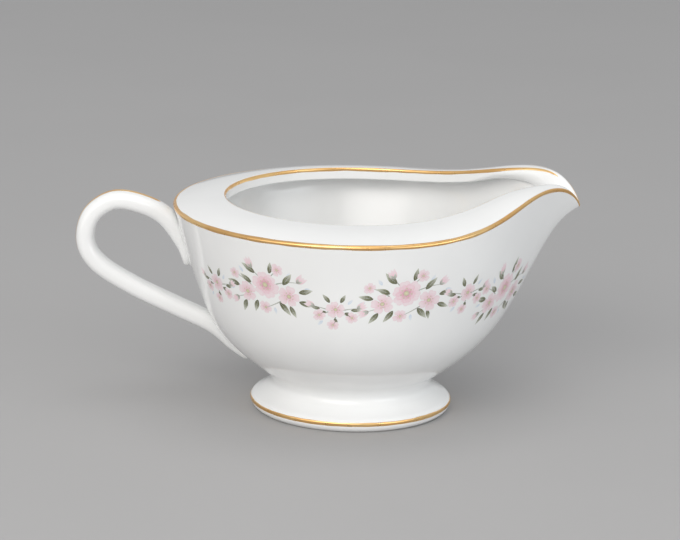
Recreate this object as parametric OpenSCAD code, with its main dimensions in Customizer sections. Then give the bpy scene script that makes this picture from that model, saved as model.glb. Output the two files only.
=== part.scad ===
// Porcelain cream jug on a pedestal foot: a round bowl with a broad shoulder and a drawn-out
// pouring spout, a loop handle that ends in two tongues, slip joints and fired gilt lines.
// Millimetres. Z is up from the table, X points along the spout and the handle is at -X.
// Angles round the bowl are measured from the middle of the spout.

/* [Bowl] */
// Diameter of the round rim
rim_d = 115; // [112:1:120]
// Height of the rim's edge above the table
rim_h = 66; // [62:1:70]
// Diameter of the bowl's flat underside, where the foot is stuck on
neck_d = 49; // [46:1:52]
// Slope of the belly where it leaves the underside, in degrees from level
belly_slope = 34.5; // [32:0.5:37]
// Lean of the wall at the rim, in degrees from upright
rim_lean = 17.3; // [15:0.1:19]
// Fullness of the belly's lower half: length of the arm that shapes its curve
belly_fullness = 28.8; // [27:0.1:30.5]
// Fullness of the belly's upper half: length of the arm that shapes its curve
rim_fullness = 36.1; // [34:0.1:38]
// Thickness of the cast wall
wall_t = 2.8; // [2.4:0.1:3.2]
// Thickness of the bowl's floor
floor_t = 3.6; // [3:0.1:4.4]

/* [Shoulder and mouth] */
// Diameter of the round part of the mouth
mouth_d = 82; // [78:1:84]
// Rise of the shoulder from the rim to the mouth
shoulder_rise = 2.9; // [2:0.1:3.8]
// Swell of the shoulder above a straight cone
shoulder_crown = 0.5; // [0.2:0.1:0.8]
// Height of the upright lip inside the mouth
lip_h = 2.9; // [2.4:0.1:3.2]

/* [Spout] */
// Reach of the spout past the round rim
spout_reach = 13.7; // [12.6:0.1:14.8]
// Half-spread of the spout, in degrees
spout_spread = 16.5; // [15.5:0.1:17.5]
// Rise of the flanks on both sides of the spout
flank_rise = 15.1; // [13:0.1:17]
// Half-spread of the flanks, in degrees
flank_spread = 36; // [33.5:0.5:38.5]
// Depth of the pouring notch between the flanks
notch_depth = 13.8; // [12.4:0.1:15]
// Half-spread of the pouring notch, in degrees
notch_spread = 10; // [9.2:0.1:10.8]
// Reach of the mouth's wide throat towards the spout
throat_reach = 12.8; // [11.4:0.1:13.4]
// Half-spread of the throat, in degrees
throat_spread = 32.8; // [31:0.2:34.6]
// Reach of the narrow channel beyond the throat
channel_reach = 13.9; // [12.5:0.1:14.5]
// Half-spread of the channel, in degrees
channel_spread = 14.1; // [13.3:0.1:14.7]
// Share of the spout's reach that flares out in the beak's last millimetres
beak_share = 0.34; // [0.28:0.01:0.4]

/* [Pedestal foot] */
// Diameter of the foot at its gilt edge
foot_d = 64.4; // [62:0.2:68]
// Diameter of the ring that stands on the table
base_d = 60; // [57:0.5:61]
// Width of the ring that stands on the table
base_w = 3.4; // [2.8:0.2:4]
// Height of the foot without the slip joint
foot_h = 9.9; // [9:0.1:11]
// Height of the foot's widest edge
foot_edge_h = 3.3; // [2.8:0.1:3.6]
// Radius of the hollow sweep from the edge up to the waist
cove_r = 17; // [13:0.5:24]

/* [Handle] */
// Radius of the loop, to the middle of its thickness
loop_r = 11.9; // [11:0.1:12.7]
// Distance of the loop's centre out from the rim
loop_out = 15.8; // [15:0.1:17]
// Depth of the loop's centre below the rim
loop_drop = 11.9; // [11:0.1:12.7]
// Slope of the straight lower arm, in degrees
arm_slope = 25.1; // [24:0.1:26.2]
// Thickness of the handle, seen from the side
handle_t = 6; // [5.2:0.1:6.8]
// Width of the handle, seen from behind
handle_w = 8.2; // [7.2:0.1:9.2]
// Thickness of the two tongues
tongue_t = 3.4; // [3:0.1:4]
// Width of the two tongues
tongue_w = 7; // [6:0.1:8]
// Height of the upper tongue's tip above the table
upper_tip_h = 46; // [44:0.5:48]
// Height of the lower tongue's tip above the table
lower_tip_h = 14.6; // [14:0.1:16]

/* [Slip joints] */
// Thickness of the slip in the joints
lute_t = 0.4; // [0.3:0.05:0.5]
// Slip squeezed out round each tongue
lute_rim = 0.5; // [0.3:0.1:0.8]

/* [Gilding] */
// Thickness of the fired gold
gilt_t = 0.15; // [0.1:0.05:0.25]
// Width of the line below the rim's edge
rim_line_w = 1.1; // [0.8:0.1:1.4]
// Width of the line inside the mouth
mouth_line_w = 0.9; // [0.7:0.1:1.2]
// Width of the line round the foot
foot_line_w = 1; // [0.8:0.1:1.4]

/* [Smoothness] */
// Steps from the spout round to the handle
half_steps = 46; // [36:2:56]
// Steps up the wall
wall_steps = 14; // [10:1:18]
// Steps along each span of the handle
handle_steps = 5; // [4:1:6]

/* [Hidden] */
$fn = 96;

porcelain = [0.95, 0.95, 0.94];
slip = [0.88, 0.87, 0.84];
gold = [0.8, 0.58, 0.27];

rim_r = rim_d / 2;
neck_r = neck_d / 2;
neck_h = foot_h + lute_t;
mouth_r = mouth_d / 2;

// A hill of height 1 over angle 0 that dies away on both sides, with its top rounded over a few degrees
hill_round = 1.5;
function hill(a, spread, power, round = hill_round) =
    let (x = a * a / sqrt(a * a + round * round)) exp(-pow(x / spread, power));

// The rim's outer edge: radius, and height above the round rim
function edge_r(a, round = hill_round) = rim_r + spout_reach * hill(a, spout_spread, 1.44, round);
function edge_lift(a) = flank_rise * hill(a, flank_spread, 2) - notch_depth * hill(a, notch_spread, 1.12);

// The mouth's edge: radius and height
lip_rise = 9.2;
lip_notch = 10.1;
function lip_r(a) = mouth_r + throat_reach * hill(a, throat_spread, 1.7)
                  + channel_reach * hill(a, channel_spread, 2.5);
function lip_z(a) = rim_h + shoulder_rise + lip_rise * hill(a, 34.6, 1.66) - lip_notch * hill(a, 5.8, 1.8);

// How far angle a lies in the pouring channel, where the lip's face leans back along the spout
function pour(a) = hill(a, channel_spread * 1.2, 2.5);

// The belly's curve: a cubic from the underside (t = 0) to the rim (t = 1), as [radius, height]
belly = [[neck_r, neck_h],
         [neck_r + belly_fullness * cos(belly_slope), neck_h + belly_fullness * sin(belly_slope)],
         [rim_r - rim_fullness * sin(rim_lean), rim_h - rim_fullness * cos(rim_lean)],
         [rim_r, rim_h]];
function cubic(p, t) = pow(1 - t, 3) * p[0] + 3 * pow(1 - t, 2) * t * p[1]
                     + 3 * (1 - t) * t * t * p[2] + pow(t, 3) * p[3];
function cubic_slope(p, t) = pow(1 - t, 2) * (p[1] - p[0]) + 2 * (1 - t) * t * (p[2] - p[1])
                           + t * t * (p[3] - p[2]);
function inward(t) = let (d = cubic_slope(belly, t)) [-d[1], d[0]] / norm(d);

// The round belly's radius at a height, by halving the span of t
function belly_t(z, low = 0, high = 1, halvings = 20) = let (mid = (low + high) / 2)
    halvings == 0 ? mid
    : cubic(belly, mid)[1] < z ? belly_t(z, mid, high, halvings - 1)
    : belly_t(z, low, mid, halvings - 1);
function belly_r(z) = cubic(belly, belly_t(z))[0];

// A point of the wall at angle a, as [radius, height], at the given depth under its outside.
// The spout's reach grows up the wall, and its rise comes in near the top. Its keel is tight at the tip
// and rounder further down.
keel_round = 14;
flank_power = 1.65;
beak_power = 18;
lift_power = 6.5;
function wall_point(a, t, depth) =
    let (p = cubic(belly, t),
         g = (p[1] - neck_h) / (rim_h - neck_h),
         reach = (1 - beak_share) * pow(g, flank_power) + beak_share * pow(g, beak_power),
         drawn = edge_r(a, hill_round + keel_round * (1 - g)) - rim_r,
         q = p + depth * inward(t))
    [q[0] + drawn * reach, q[1] + edge_lift(a) * pow(g, lift_power)];

// A point of the shoulder at angle a: v runs from the rim's edge (0) to the mouth's edge (1)
function shoulder_point(a, v) =
    let (edge = [edge_r(a), rim_h + edge_lift(a)], mouth = [lip_r(a), lip_z(a)])
    edge + (mouth - edge) * v + [0, shoulder_crown * sin(180 * v)];

// Where the rim's gilt line ends on the wall at angle a. The spout stretches the wall, so t moves less there.
nudge = 0.005;
function rim_line_t(a) =
    1 - nudge * rim_line_w / norm(wall_point(a, 1, 0) - wall_point(a, 1 - nudge, 0));

// The bowl's section at angle a, from the underside up the outside, over the shoulder, down inside.
// The steps up the outside come closer together towards the rim.
rim_line_top = 0.5;
shoulder_stops = [0.3, 0.65];
inner_top = 0.955;
inner_foot = 0.05;
well_share = 0.7;
function wall_stop(i) = 1 - pow(1 - i / wall_steps, 1.5);
function outside(a) = [for (i = [0 : wall_steps]) wall_point(a, wall_stop(i) * rim_line_t(a), 0),
                       wall_point(a, 1, 0)];
function top(a) = [shoulder_point(a, rim_line_top / (edge_r(a) - lip_r(a))),
                   for (v = shoulder_stops) shoulder_point(a, v), shoulder_point(a, 1)];
function lip_foot(a) = [lip_r(a) - 0.9 * lip_h * pour(a), lip_z(a) - lip_h * (1 - 0.3 * pour(a))];
function lip(a) = let (l = shoulder_point(a, 1)) [l + (lip_foot(a) - l) * mouth_line_w / lip_h, lip_foot(a)];
function under_shoulder(a) =
    let (l = lip_foot(a), w = wall_point(a, inner_top, wall_t), k = pour(a))
    [for (i = [len(shoulder_stops) - 1 : -1 : 0]) let (v = shoulder_stops[i])
        (1 - k) * (shoulder_point(a, v) - [0, lip_h]) + k * (w + (l - w) * v)];
function inside(a) = [for (i = [wall_steps - 2 : -1 : 0])
    wall_point(a, inner_foot + (inner_top - inner_foot) * i / (wall_steps - 2), wall_t)];
function well(a) = [[well_share * neck_r, neck_h + floor_t]];
function section(a) = concat(outside(a), top(a), lip(a), under_shoulder(a), inside(a), well(a));

// Rings of the section that the gilt lines lie on
ring_rim_line = wall_steps;
ring_edge = wall_steps + 1;
ring_shoulder = wall_steps + 2;
ring_mouth = ring_shoulder + len(shoulder_stops) + 1;
ring_mouth_line = ring_mouth + 1;

// Angles round the bowl, closer together at the spout
crowding = 1.4;
stations = [for (i = [-half_steps : half_steps - 1]) 180 * sign(i) * pow(abs(i) / half_steps, crowding)];

function turned(p, a) = [p[0] * cos(a), p[0] * sin(a), p[1]];

// Triangles over rows of points, each row with the same number of points
function skin_faces(rows, cols, round_rows, round_cols) =
    [for (i = [0 : rows - (round_rows ? 1 : 2)], j = [0 : cols - (round_cols ? 1 : 2)], half = [0, 1])
        let (i2 = (i + 1) % rows, j2 = (j + 1) % cols,
             a = i * cols + j, b = i2 * cols + j, c = i2 * cols + j2, d = i * cols + j2)
        half == 0 ? [a, c, b] : [a, d, c]];

// A solid skinned over section loops: a ring, or a bar with a flat cap on each end
module skin(loops, ring) {
    rows = len(loops);
    cols = len(loops[0]);
    first = [for (j = [cols - 1 : -1 : 0]) j];
    last = [for (j = [0 : cols - 1]) (rows - 1) * cols + j];
    polyhedron([for (l = loops, p = l) p],
               concat(skin_faces(rows, cols, ring, true), ring ? [] : [first, last]));
}

module bowl() {
    rows = len(stations);
    cols = len(section(0));
    underside = [for (i = [0 : rows - 1]) i * cols];
    floor_face = [for (i = [rows - 1 : -1 : 0]) i * cols + cols - 1];
    color(porcelain)
        polyhedron([for (a = stations, p = section(a)) turned(p, a)],
                   concat(skin_faces(rows, cols, true, false), [underside, floor_face]));
}

// The pedestal foot: a hollow turned ring whose top sweeps in to the waist
base_r = base_d / 2;
foot_r = foot_d / 2;
seat_w = 5.4;
edge_round = 0.7;
sweep_low = [foot_r - edge_round, foot_edge_h + 0.9];
sweep_high = [neck_r, foot_h];
hollow = [[base_r - base_w, 0], [base_r - base_w - 0.6, 2.6], [neck_r - 3, 6.6], [neck_r - seat_w, foot_h]];
function arc_centre(p, q, r) = let (d = q - p, h = sqrt(r * r - d * d / 4))
    (p + q) / 2 + h * [d[1], -d[0]] / norm(d);

module foot_blank() {
    difference() {
        polygon(concat(hollow, [sweep_high, sweep_low, [foot_r, foot_edge_h], [base_r, 0]]));
        translate(arc_centre(sweep_low, sweep_high, cove_r)) circle(cove_r);
    }
}

module pedestal_foot() {
    color(porcelain) union() {
        rotate_extrude() foot_blank();
        rotate_extrude() translate([foot_r - edge_round, foot_edge_h + 0.3]) circle(edge_round);
    }
}

module foot_lute() {
    color(slip) rotate_extrude()
        translate([neck_r - seat_w, foot_h]) square([seat_w, lute_t]);
}

// The handle's middle line in the XZ plane: up the wall, round the loop, down the arm and the belly
function on_belly(z, proud) = [-(belly_r(z) + proud), z];
loop_centre = [-(rim_r + loop_out), rim_h - loop_drop];
arm_start = loop_centre + [3.6, -16.2];
handle_line = concat(
    [on_belly(upper_tip_h, 1), on_belly(upper_tip_h + 7.5, 1), loop_centre + [13.5, 6.5]],
    [for (a = [64 : 41.5 : 230]) loop_centre + loop_r * [cos(a), sin(a)]],
    [for (d = [0, 15, 28.5]) arm_start + d * [cos(arm_slope), -sin(arm_slope)]],
    [on_belly(lower_tip_h + 5.2, 0.7), on_belly(lower_tip_h, 0.9)]);
spans = len(handle_line) - 1;

// A smooth path through the points p: s counts spans from the first point
function path_point(p, s) =
    let (n = len(p), i = min(floor(s), n - 2), t = s - i, b = p[i], c = p[i + 1],
         a = i > 0 ? p[i - 1] : 2 * b - c, d = i < n - 2 ? p[i + 2] : 2 * c - b)
    b + t * ((c - a) + t * ((2 * a - 5 * b + 4 * c - d) + t * (3 * b - a - 3 * c + d))) / 2;
function path_normal(p, s) =
    let (d = path_point(p, min(s + 0.01, spans)) - path_point(p, max(s - 0.01, 0)))
    [d[1], -d[0]] / norm(d);

// The handle's section: a rounded strap that thins into the tongues and closes at their tips
strap_sides = 16;
strap_power = 2.5;
tongue_spans = 2;
tip_spans = 0.3;
tip_stops = [0.02, 0.08];
function ease(x) = let (u = min(1, max(0, x))) u * u * (3 - 2 * u);
function from_tip(s) = min(s, spans - s);
function tip_close(s) = let (u = min(1, from_tip(s) / tip_spans)) sqrt(1 - pow(1 - u, 2));
function strap_size(s, tongue, full) =
    (tongue + (full - tongue) * ease(from_tip(s) / tongue_spans)) * tip_close(s);
function rounded(x) = sign(x) * pow(abs(x), 2 / strap_power);
function seated(p) = let (r = norm([p[0], p[1]]), seat = belly_r(p[2]) + lute_t)
    r < seat && p[2] < rim_h ? [p[0] * seat / r, p[1] * seat / r, p[2]] : p;
function strap_loop(s) =
    let (c = path_point(handle_line, s), n = path_normal(handle_line, s),
         half_t = strap_size(s, tongue_t, handle_t) / 2, half_w = strap_size(s, tongue_w, handle_w) / 2)
    [for (j = [0 : strap_sides - 1])
        let (turn = (j + 0.5) * 360 / strap_sides, out = half_t * rounded(cos(turn)))
        seated([c[0] + n[0] * out, -half_w * rounded(sin(turn)), c[1] + n[1] * out])];
handle_stops = concat(tip_stops, [for (i = [1 : spans * handle_steps - 1]) i / handle_steps],
                      [for (i = [len(tip_stops) - 1 : -1 : 0]) spans - tip_stops[i]]);

module handle() {
    color(porcelain) skin([for (s = handle_stops) strap_loop(s)], false);
}

// A pad of slip on the belly under a tongue, with a round end at each height
pad_stops = [0.01, 0.05, 0.14, 0.3, 0.5, 0.7, 0.86, 0.95, 0.99];
pad_sides = [-1, -0.5, 0, 0.5, 1];

module lute_pad(low, high, width) {
    function pad_row(z, half_w, out) = [for (y = pad_sides)
        let (r = belly_r(z), a = asin(half_w * y / r)) [-(r + out) * cos(a), (r + out) * sin(a), z]];
    loops = [for (u = pad_stops)
        let (z = low + (high - low) * u, half_w = width / 2 * sqrt(1 - pow(abs(2 * u - 1), 3)),
             back = pad_row(z, half_w, 0))
        concat(pad_row(z, half_w, lute_t), [for (i = [len(back) - 1 : -1 : 0]) back[i]])];
    color(slip) skin(loops, false);
}

module handle_upper_lute() {
    lute_pad(upper_tip_h - lute_rim, rim_h - 2.6, handle_w + 2 * lute_rim);
}

module handle_lower_lute() {
    lute_pad(lower_tip_h - lute_rim, lower_tip_h + 17.5, tongue_w + 3 * lute_rim);
}

// The fired gold lines lie on rings of the bowl and handle, and on the foot's cone
module rim_gilt_line() {
    low_out = [gilt_t, 0];
    edge_out = [gilt_t, gilt_t / 2];
    top_out = [0, gilt_t];
    loops = [for (a = stations) let (s = section(a)) [for (p = [
        s[ring_rim_line] + low_out, s[ring_edge] + edge_out, s[ring_shoulder] + top_out,
        s[ring_shoulder], s[ring_edge], s[ring_rim_line]]) turned(p, a)]];
    color(gold) skin(loops, true);
}

// The line inside the mouth runs from one flank of the spout round the back to the other flank
mouth_line_end = 7;
module mouth_gilt_line() {
    in = [-gilt_t, 0];
    angles = concat([for (a = stations) if (a >= mouth_line_end) a],
                    [for (a = stations) if (a <= -mouth_line_end) a]);
    loops = [for (a = angles) let (s = section(a)) [for (p = [
        s[ring_mouth] + in, s[ring_mouth_line] + in, s[ring_mouth_line], s[ring_mouth]]) turned(p, a)]];
    color(gold) skin(loops, false);
}

module foot_gilt_line() {
    low = foot_edge_h - foot_line_w;
    low_r = base_r + (foot_r - base_r) * low / foot_edge_h;
    out = [gilt_t, 0];
    color(gold) rotate_extrude()
        polygon([[low_r, low], [low_r, low] + out, [foot_r, foot_edge_h] + out, [foot_r, foot_edge_h]]);
}

// The line on the handle's back starts clear of the rim and ends clear of the belly
handle_line_from = 2.4;
handle_line_to = 10.4;
module handle_gilt_line() {
    loops = [for (s = handle_stops) if (s >= handle_line_from && s <= handle_line_to)
        let (l = strap_loop(s), n = path_normal(handle_line, s), out = gilt_t * [n[0], 0, n[1]],
             left = l[strap_sides - 1], right = l[0])
        [left + out, right + out, right, left]];
    color(gold) skin(loops, false);
}

bowl();
pedestal_foot();
foot_lute();
handle();
handle_upper_lute();
handle_lower_lute();
rim_gilt_line();
mouth_gilt_line();
foot_gilt_line();
handle_gilt_line();
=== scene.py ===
"""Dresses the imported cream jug: glazed porcelain, fired gold lines and printed sprays of flowers.

Each surface is worked out with numpy in millimetres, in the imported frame's axes (Z up from the table,
the spout along +X, the handle at -X), and goes into its mesh in metres. Angles round the bowl are in
degrees from the middle of the spout. A section is a row of [radius, height] points.
"""

from __future__ import annotations

import logging
import math
from dataclasses import dataclass, field
from enum import Enum

import bpy
import numpy as np
from mathutils import Matrix, Vector

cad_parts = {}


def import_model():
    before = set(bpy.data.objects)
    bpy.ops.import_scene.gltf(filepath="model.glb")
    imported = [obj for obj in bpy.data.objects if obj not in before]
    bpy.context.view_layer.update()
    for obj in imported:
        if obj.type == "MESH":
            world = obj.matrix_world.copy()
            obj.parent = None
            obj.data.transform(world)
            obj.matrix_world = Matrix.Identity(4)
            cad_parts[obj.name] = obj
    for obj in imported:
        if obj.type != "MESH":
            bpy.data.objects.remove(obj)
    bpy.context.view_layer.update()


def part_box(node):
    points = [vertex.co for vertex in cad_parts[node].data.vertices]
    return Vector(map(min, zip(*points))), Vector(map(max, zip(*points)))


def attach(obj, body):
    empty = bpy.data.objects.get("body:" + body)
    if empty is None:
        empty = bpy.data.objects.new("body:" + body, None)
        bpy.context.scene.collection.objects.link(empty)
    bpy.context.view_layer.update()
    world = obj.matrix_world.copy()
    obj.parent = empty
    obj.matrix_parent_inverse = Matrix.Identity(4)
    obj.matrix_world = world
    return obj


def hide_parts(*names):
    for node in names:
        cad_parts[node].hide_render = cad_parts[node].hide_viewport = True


LOG = logging.getLogger("cream_jug")
MM = 0.001
BODY = "root"
GLAZE_IOR = 1.52
NOISE_SPAN = (0.3, 0.7)
CORNER_ROWS = 7
Array = np.ndarray
Colour = tuple[float, float, float]
Rows = tuple[tuple[float, ...], ...]


class Slot(Enum):
    """The record's material slots."""

    PORCELAIN = "porcelain"
    SLIP = "slip"
    GILT = "gilt"


@dataclass
class Surface:
    """A grid of points, or a stack of equal grids, that becomes one mesh.

    Attributes:
        points: Points in millimetres, (rows, columns, 3) or (grids, rows, columns, 3).
        wrap_rows: The last row joins the first.
        wrap_cols: The last column joins the first.
        poles: Points that close an open edge with a fan, by the edge's name (low_row, high_row,
            low_col or high_col). A stack has none.
        fields: Values at the points, by name, in the points' own order.
        uv: Map of the points, with two values each.
    """

    points: Array
    wrap_rows: bool = False
    wrap_cols: bool = False
    poles: dict[str, Array] = field(default_factory=dict)
    fields: dict[str, Array] = field(default_factory=dict)
    uv: Array | None = None

    def quads(self) -> Array:
        """The four-sided faces between neighbouring rows and columns.

        Returns:
            Rows of four point numbers, which turn left seen from outside.
        """
        rows, cols = self.points.shape[-3:-1]
        grids = self.points.size // (3 * rows * cols)
        first = np.arange(grids)[:, None, None] * rows * cols
        i = np.arange(rows if self.wrap_rows else rows - 1)[:, None]
        j = np.arange(cols if self.wrap_cols else cols - 1)[None, :]
        i2, j2 = (i + 1) % rows, (j + 1) % cols
        corners = (i * cols + j, i2 * cols + j, i2 * cols + j2, i * cols + j2)
        return np.stack([first + c for c in corners], axis=-1).reshape(-1, 4)

    def fans(self) -> tuple[list[Array], Array]:
        """The triangles that close open edges to their poles.

        Returns:
            The pole points, and the triangles as rows of point numbers.
        """
        rows, cols = self.points.shape[-3:-1]
        numbers = np.arange(rows * cols).reshape(rows, cols)
        edges = {
            "low_row": numbers[0],
            "high_row": numbers[-1, ::-1],
            "low_col": numbers[::-1, 0],
            "high_col": numbers[:, -1],
        }
        found, triangles = [], [np.zeros((0, 3), int)]
        for name, point in self.poles.items():
            ring = edges[name]
            hub = np.full(len(ring), rows * cols + len(found))
            triangles.append(np.stack([ring, np.roll(ring, -1), hub], axis=-1))
            found.append(np.asarray(point, float))
        return found, np.concatenate(triangles)

    def build(self, name: str) -> bpy.types.Object:
        """Makes the mesh object.

        Args:
            name: Name of the piece.

        Returns:
            The object, at the origin, with smooth faces.
        """
        poles, triangles = self.fans()
        co = np.concatenate([self.points.reshape(-1, 3), *[p[None] for p in poles]]) * MM
        mesh = bpy.data.meshes.new(name)
        mesh.from_pydata(co.tolist(), [], self.quads().tolist() + triangles.tolist())
        mesh.shade_smooth()
        for key, values in self.fields.items():
            flat = np.append(values.ravel(), np.full(len(poles), values.ravel()[-1]))
            layer = mesh.attributes.new(key, "FLOAT", "POINT")
            layer.data.foreach_set("value", flat.astype(np.float32))
        if self.uv is not None:
            corners = np.zeros(len(mesh.loops), np.int32)
            mesh.loops.foreach_get("vertex_index", corners)
            layer = mesh.uv_layers.new(name="UVMap")
            flat = np.concatenate([self.uv.reshape(-1, 2), np.zeros((len(poles), 2))])
            layer.data.foreach_set("uv", flat[corners].astype(np.float32).ravel())
        piece = bpy.data.objects.new(name, mesh)
        bpy.context.scene.collection.objects.link(piece)
        return piece


def smooth_step(x: Array) -> Array:
    """Rises from 0 to 1 between x = 0 and x = 1, level at both ends."""
    u = np.clip(x, 0.0, 1.0)
    return u * u * (3.0 - 2.0 * u)


def unit(v: Array) -> Array:
    """Vectors brought to length 1."""
    return v / np.maximum(np.linalg.norm(v, axis=-1, keepdims=True), 1e-12)


def spokes(turn: Array) -> Array:
    """Unit [cos, sin] pairs of turns in radians."""
    return np.stack([np.cos(turn), np.sin(turn)], axis=-1)


def between(start: float | Array, end: float | Array, shape: tuple[int, int]) -> Array:
    """Evenly spaced values down each column of a (rows, columns) shape, with neither end."""
    u = np.linspace(0.0, 1.0, shape[0] + 2)[1:-1, None]
    return np.broadcast_to(start + (np.asarray(end) - start) * u, shape)


def quadratic(start: Array, corner: Array, end: Array, u: Array) -> Array:
    """The curve (1 - u)^2 start + 2 u (1 - u) corner + u^2 end, which is drawn towards its corner."""
    return (1 - u) ** 2 * start + 2 * u * (1 - u) * corner + u**2 * end


def bend(start: Array, corner: Array, end: Array, count: int) -> Array:
    """Rounded corners: quadratic curves between (n, 2) points, both ends included, (count, n, 2)."""
    return quadratic(start, corner, end, np.linspace(0.0, 1.0, count)[:, None, None])


def soft_outline(corners: Array, rounds: Array) -> Array:
    """A closed outline with its corners rounded off.

    Args:
        corners: The outline's corners in order, (n, 2).
        rounds: How far from each corner its rounding starts, (n,); 0 leaves it as it is.

    Returns:
        Points, CORNER_ROWS for each rounding and one for a corner that is left, (m, 2).
    """
    start = corners + rounds[:, None] * unit(np.roll(corners, 1, axis=0) - corners)
    end = corners + rounds[:, None] * unit(np.roll(corners, -1, axis=0) - corners)
    curves = bend(start, corners, end, CORNER_ROWS).transpose(1, 0, 2)
    return np.concatenate([curve if r else curve[:1] for curve, r in zip(curves, rounds)])


def tips(points: Array) -> dict[str, Array]:
    """Poles that close a tube's first and last row, each in the row's middle."""
    return {"low_row": points[0].mean(axis=0), "high_row": points[-1].mean(axis=0)}


def turned(rz: Array, angle: Array) -> Array:
    """Turns [radius, height] points about the jug's axis to angles in degrees, (..., 3)."""
    a = np.radians(angle)
    return np.stack([rz[..., 0] * np.cos(a), rz[..., 0] * np.sin(a), rz[..., 1]], axis=-1)


def grid_normals(points: Array, closed: bool = False) -> Array:
    """Unit normals of a grid, from its differences along rows and columns.

    Args:
        points: The grid, (rows, columns, 3).
        closed: The last row joins the first, so the differences run across the join.

    Returns:
        Normals, of the same shape.
    """
    if closed:
        return grid_normals(np.concatenate([points[-1:], points, points[:1]]))[1:-1]
    return unit(np.cross(np.gradient(points, axis=0), np.gradient(points, axis=1)))


@dataclass(frozen=True)
class Hill:
    """A hill over the middle of the spout that dies away on both sides.

    Attributes:
        height: Height of its top.
        spread: Half-spread in degrees.
        power: How squarely its sides fall.
        top_round: Degrees that its top is rounded over.
    """

    height: float
    spread: float
    power: float
    top_round: float = 1.5

    def at(self, angle: Array, keel: float | Array = 0.0) -> Array:
        """Heights by the formula height * exp(-(x / spread)^power), where x is the rounded angle.

        Args:
            angle: Angles round the bowl.
            keel: Degrees that the top is rounded over beyond its own.

        Returns:
            Heights, of the angles' shape.
        """
        x = angle**2 / np.sqrt(angle**2 + (self.top_round + keel) ** 2)
        return self.height * np.exp(-((x / self.spread) ** self.power))


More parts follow.
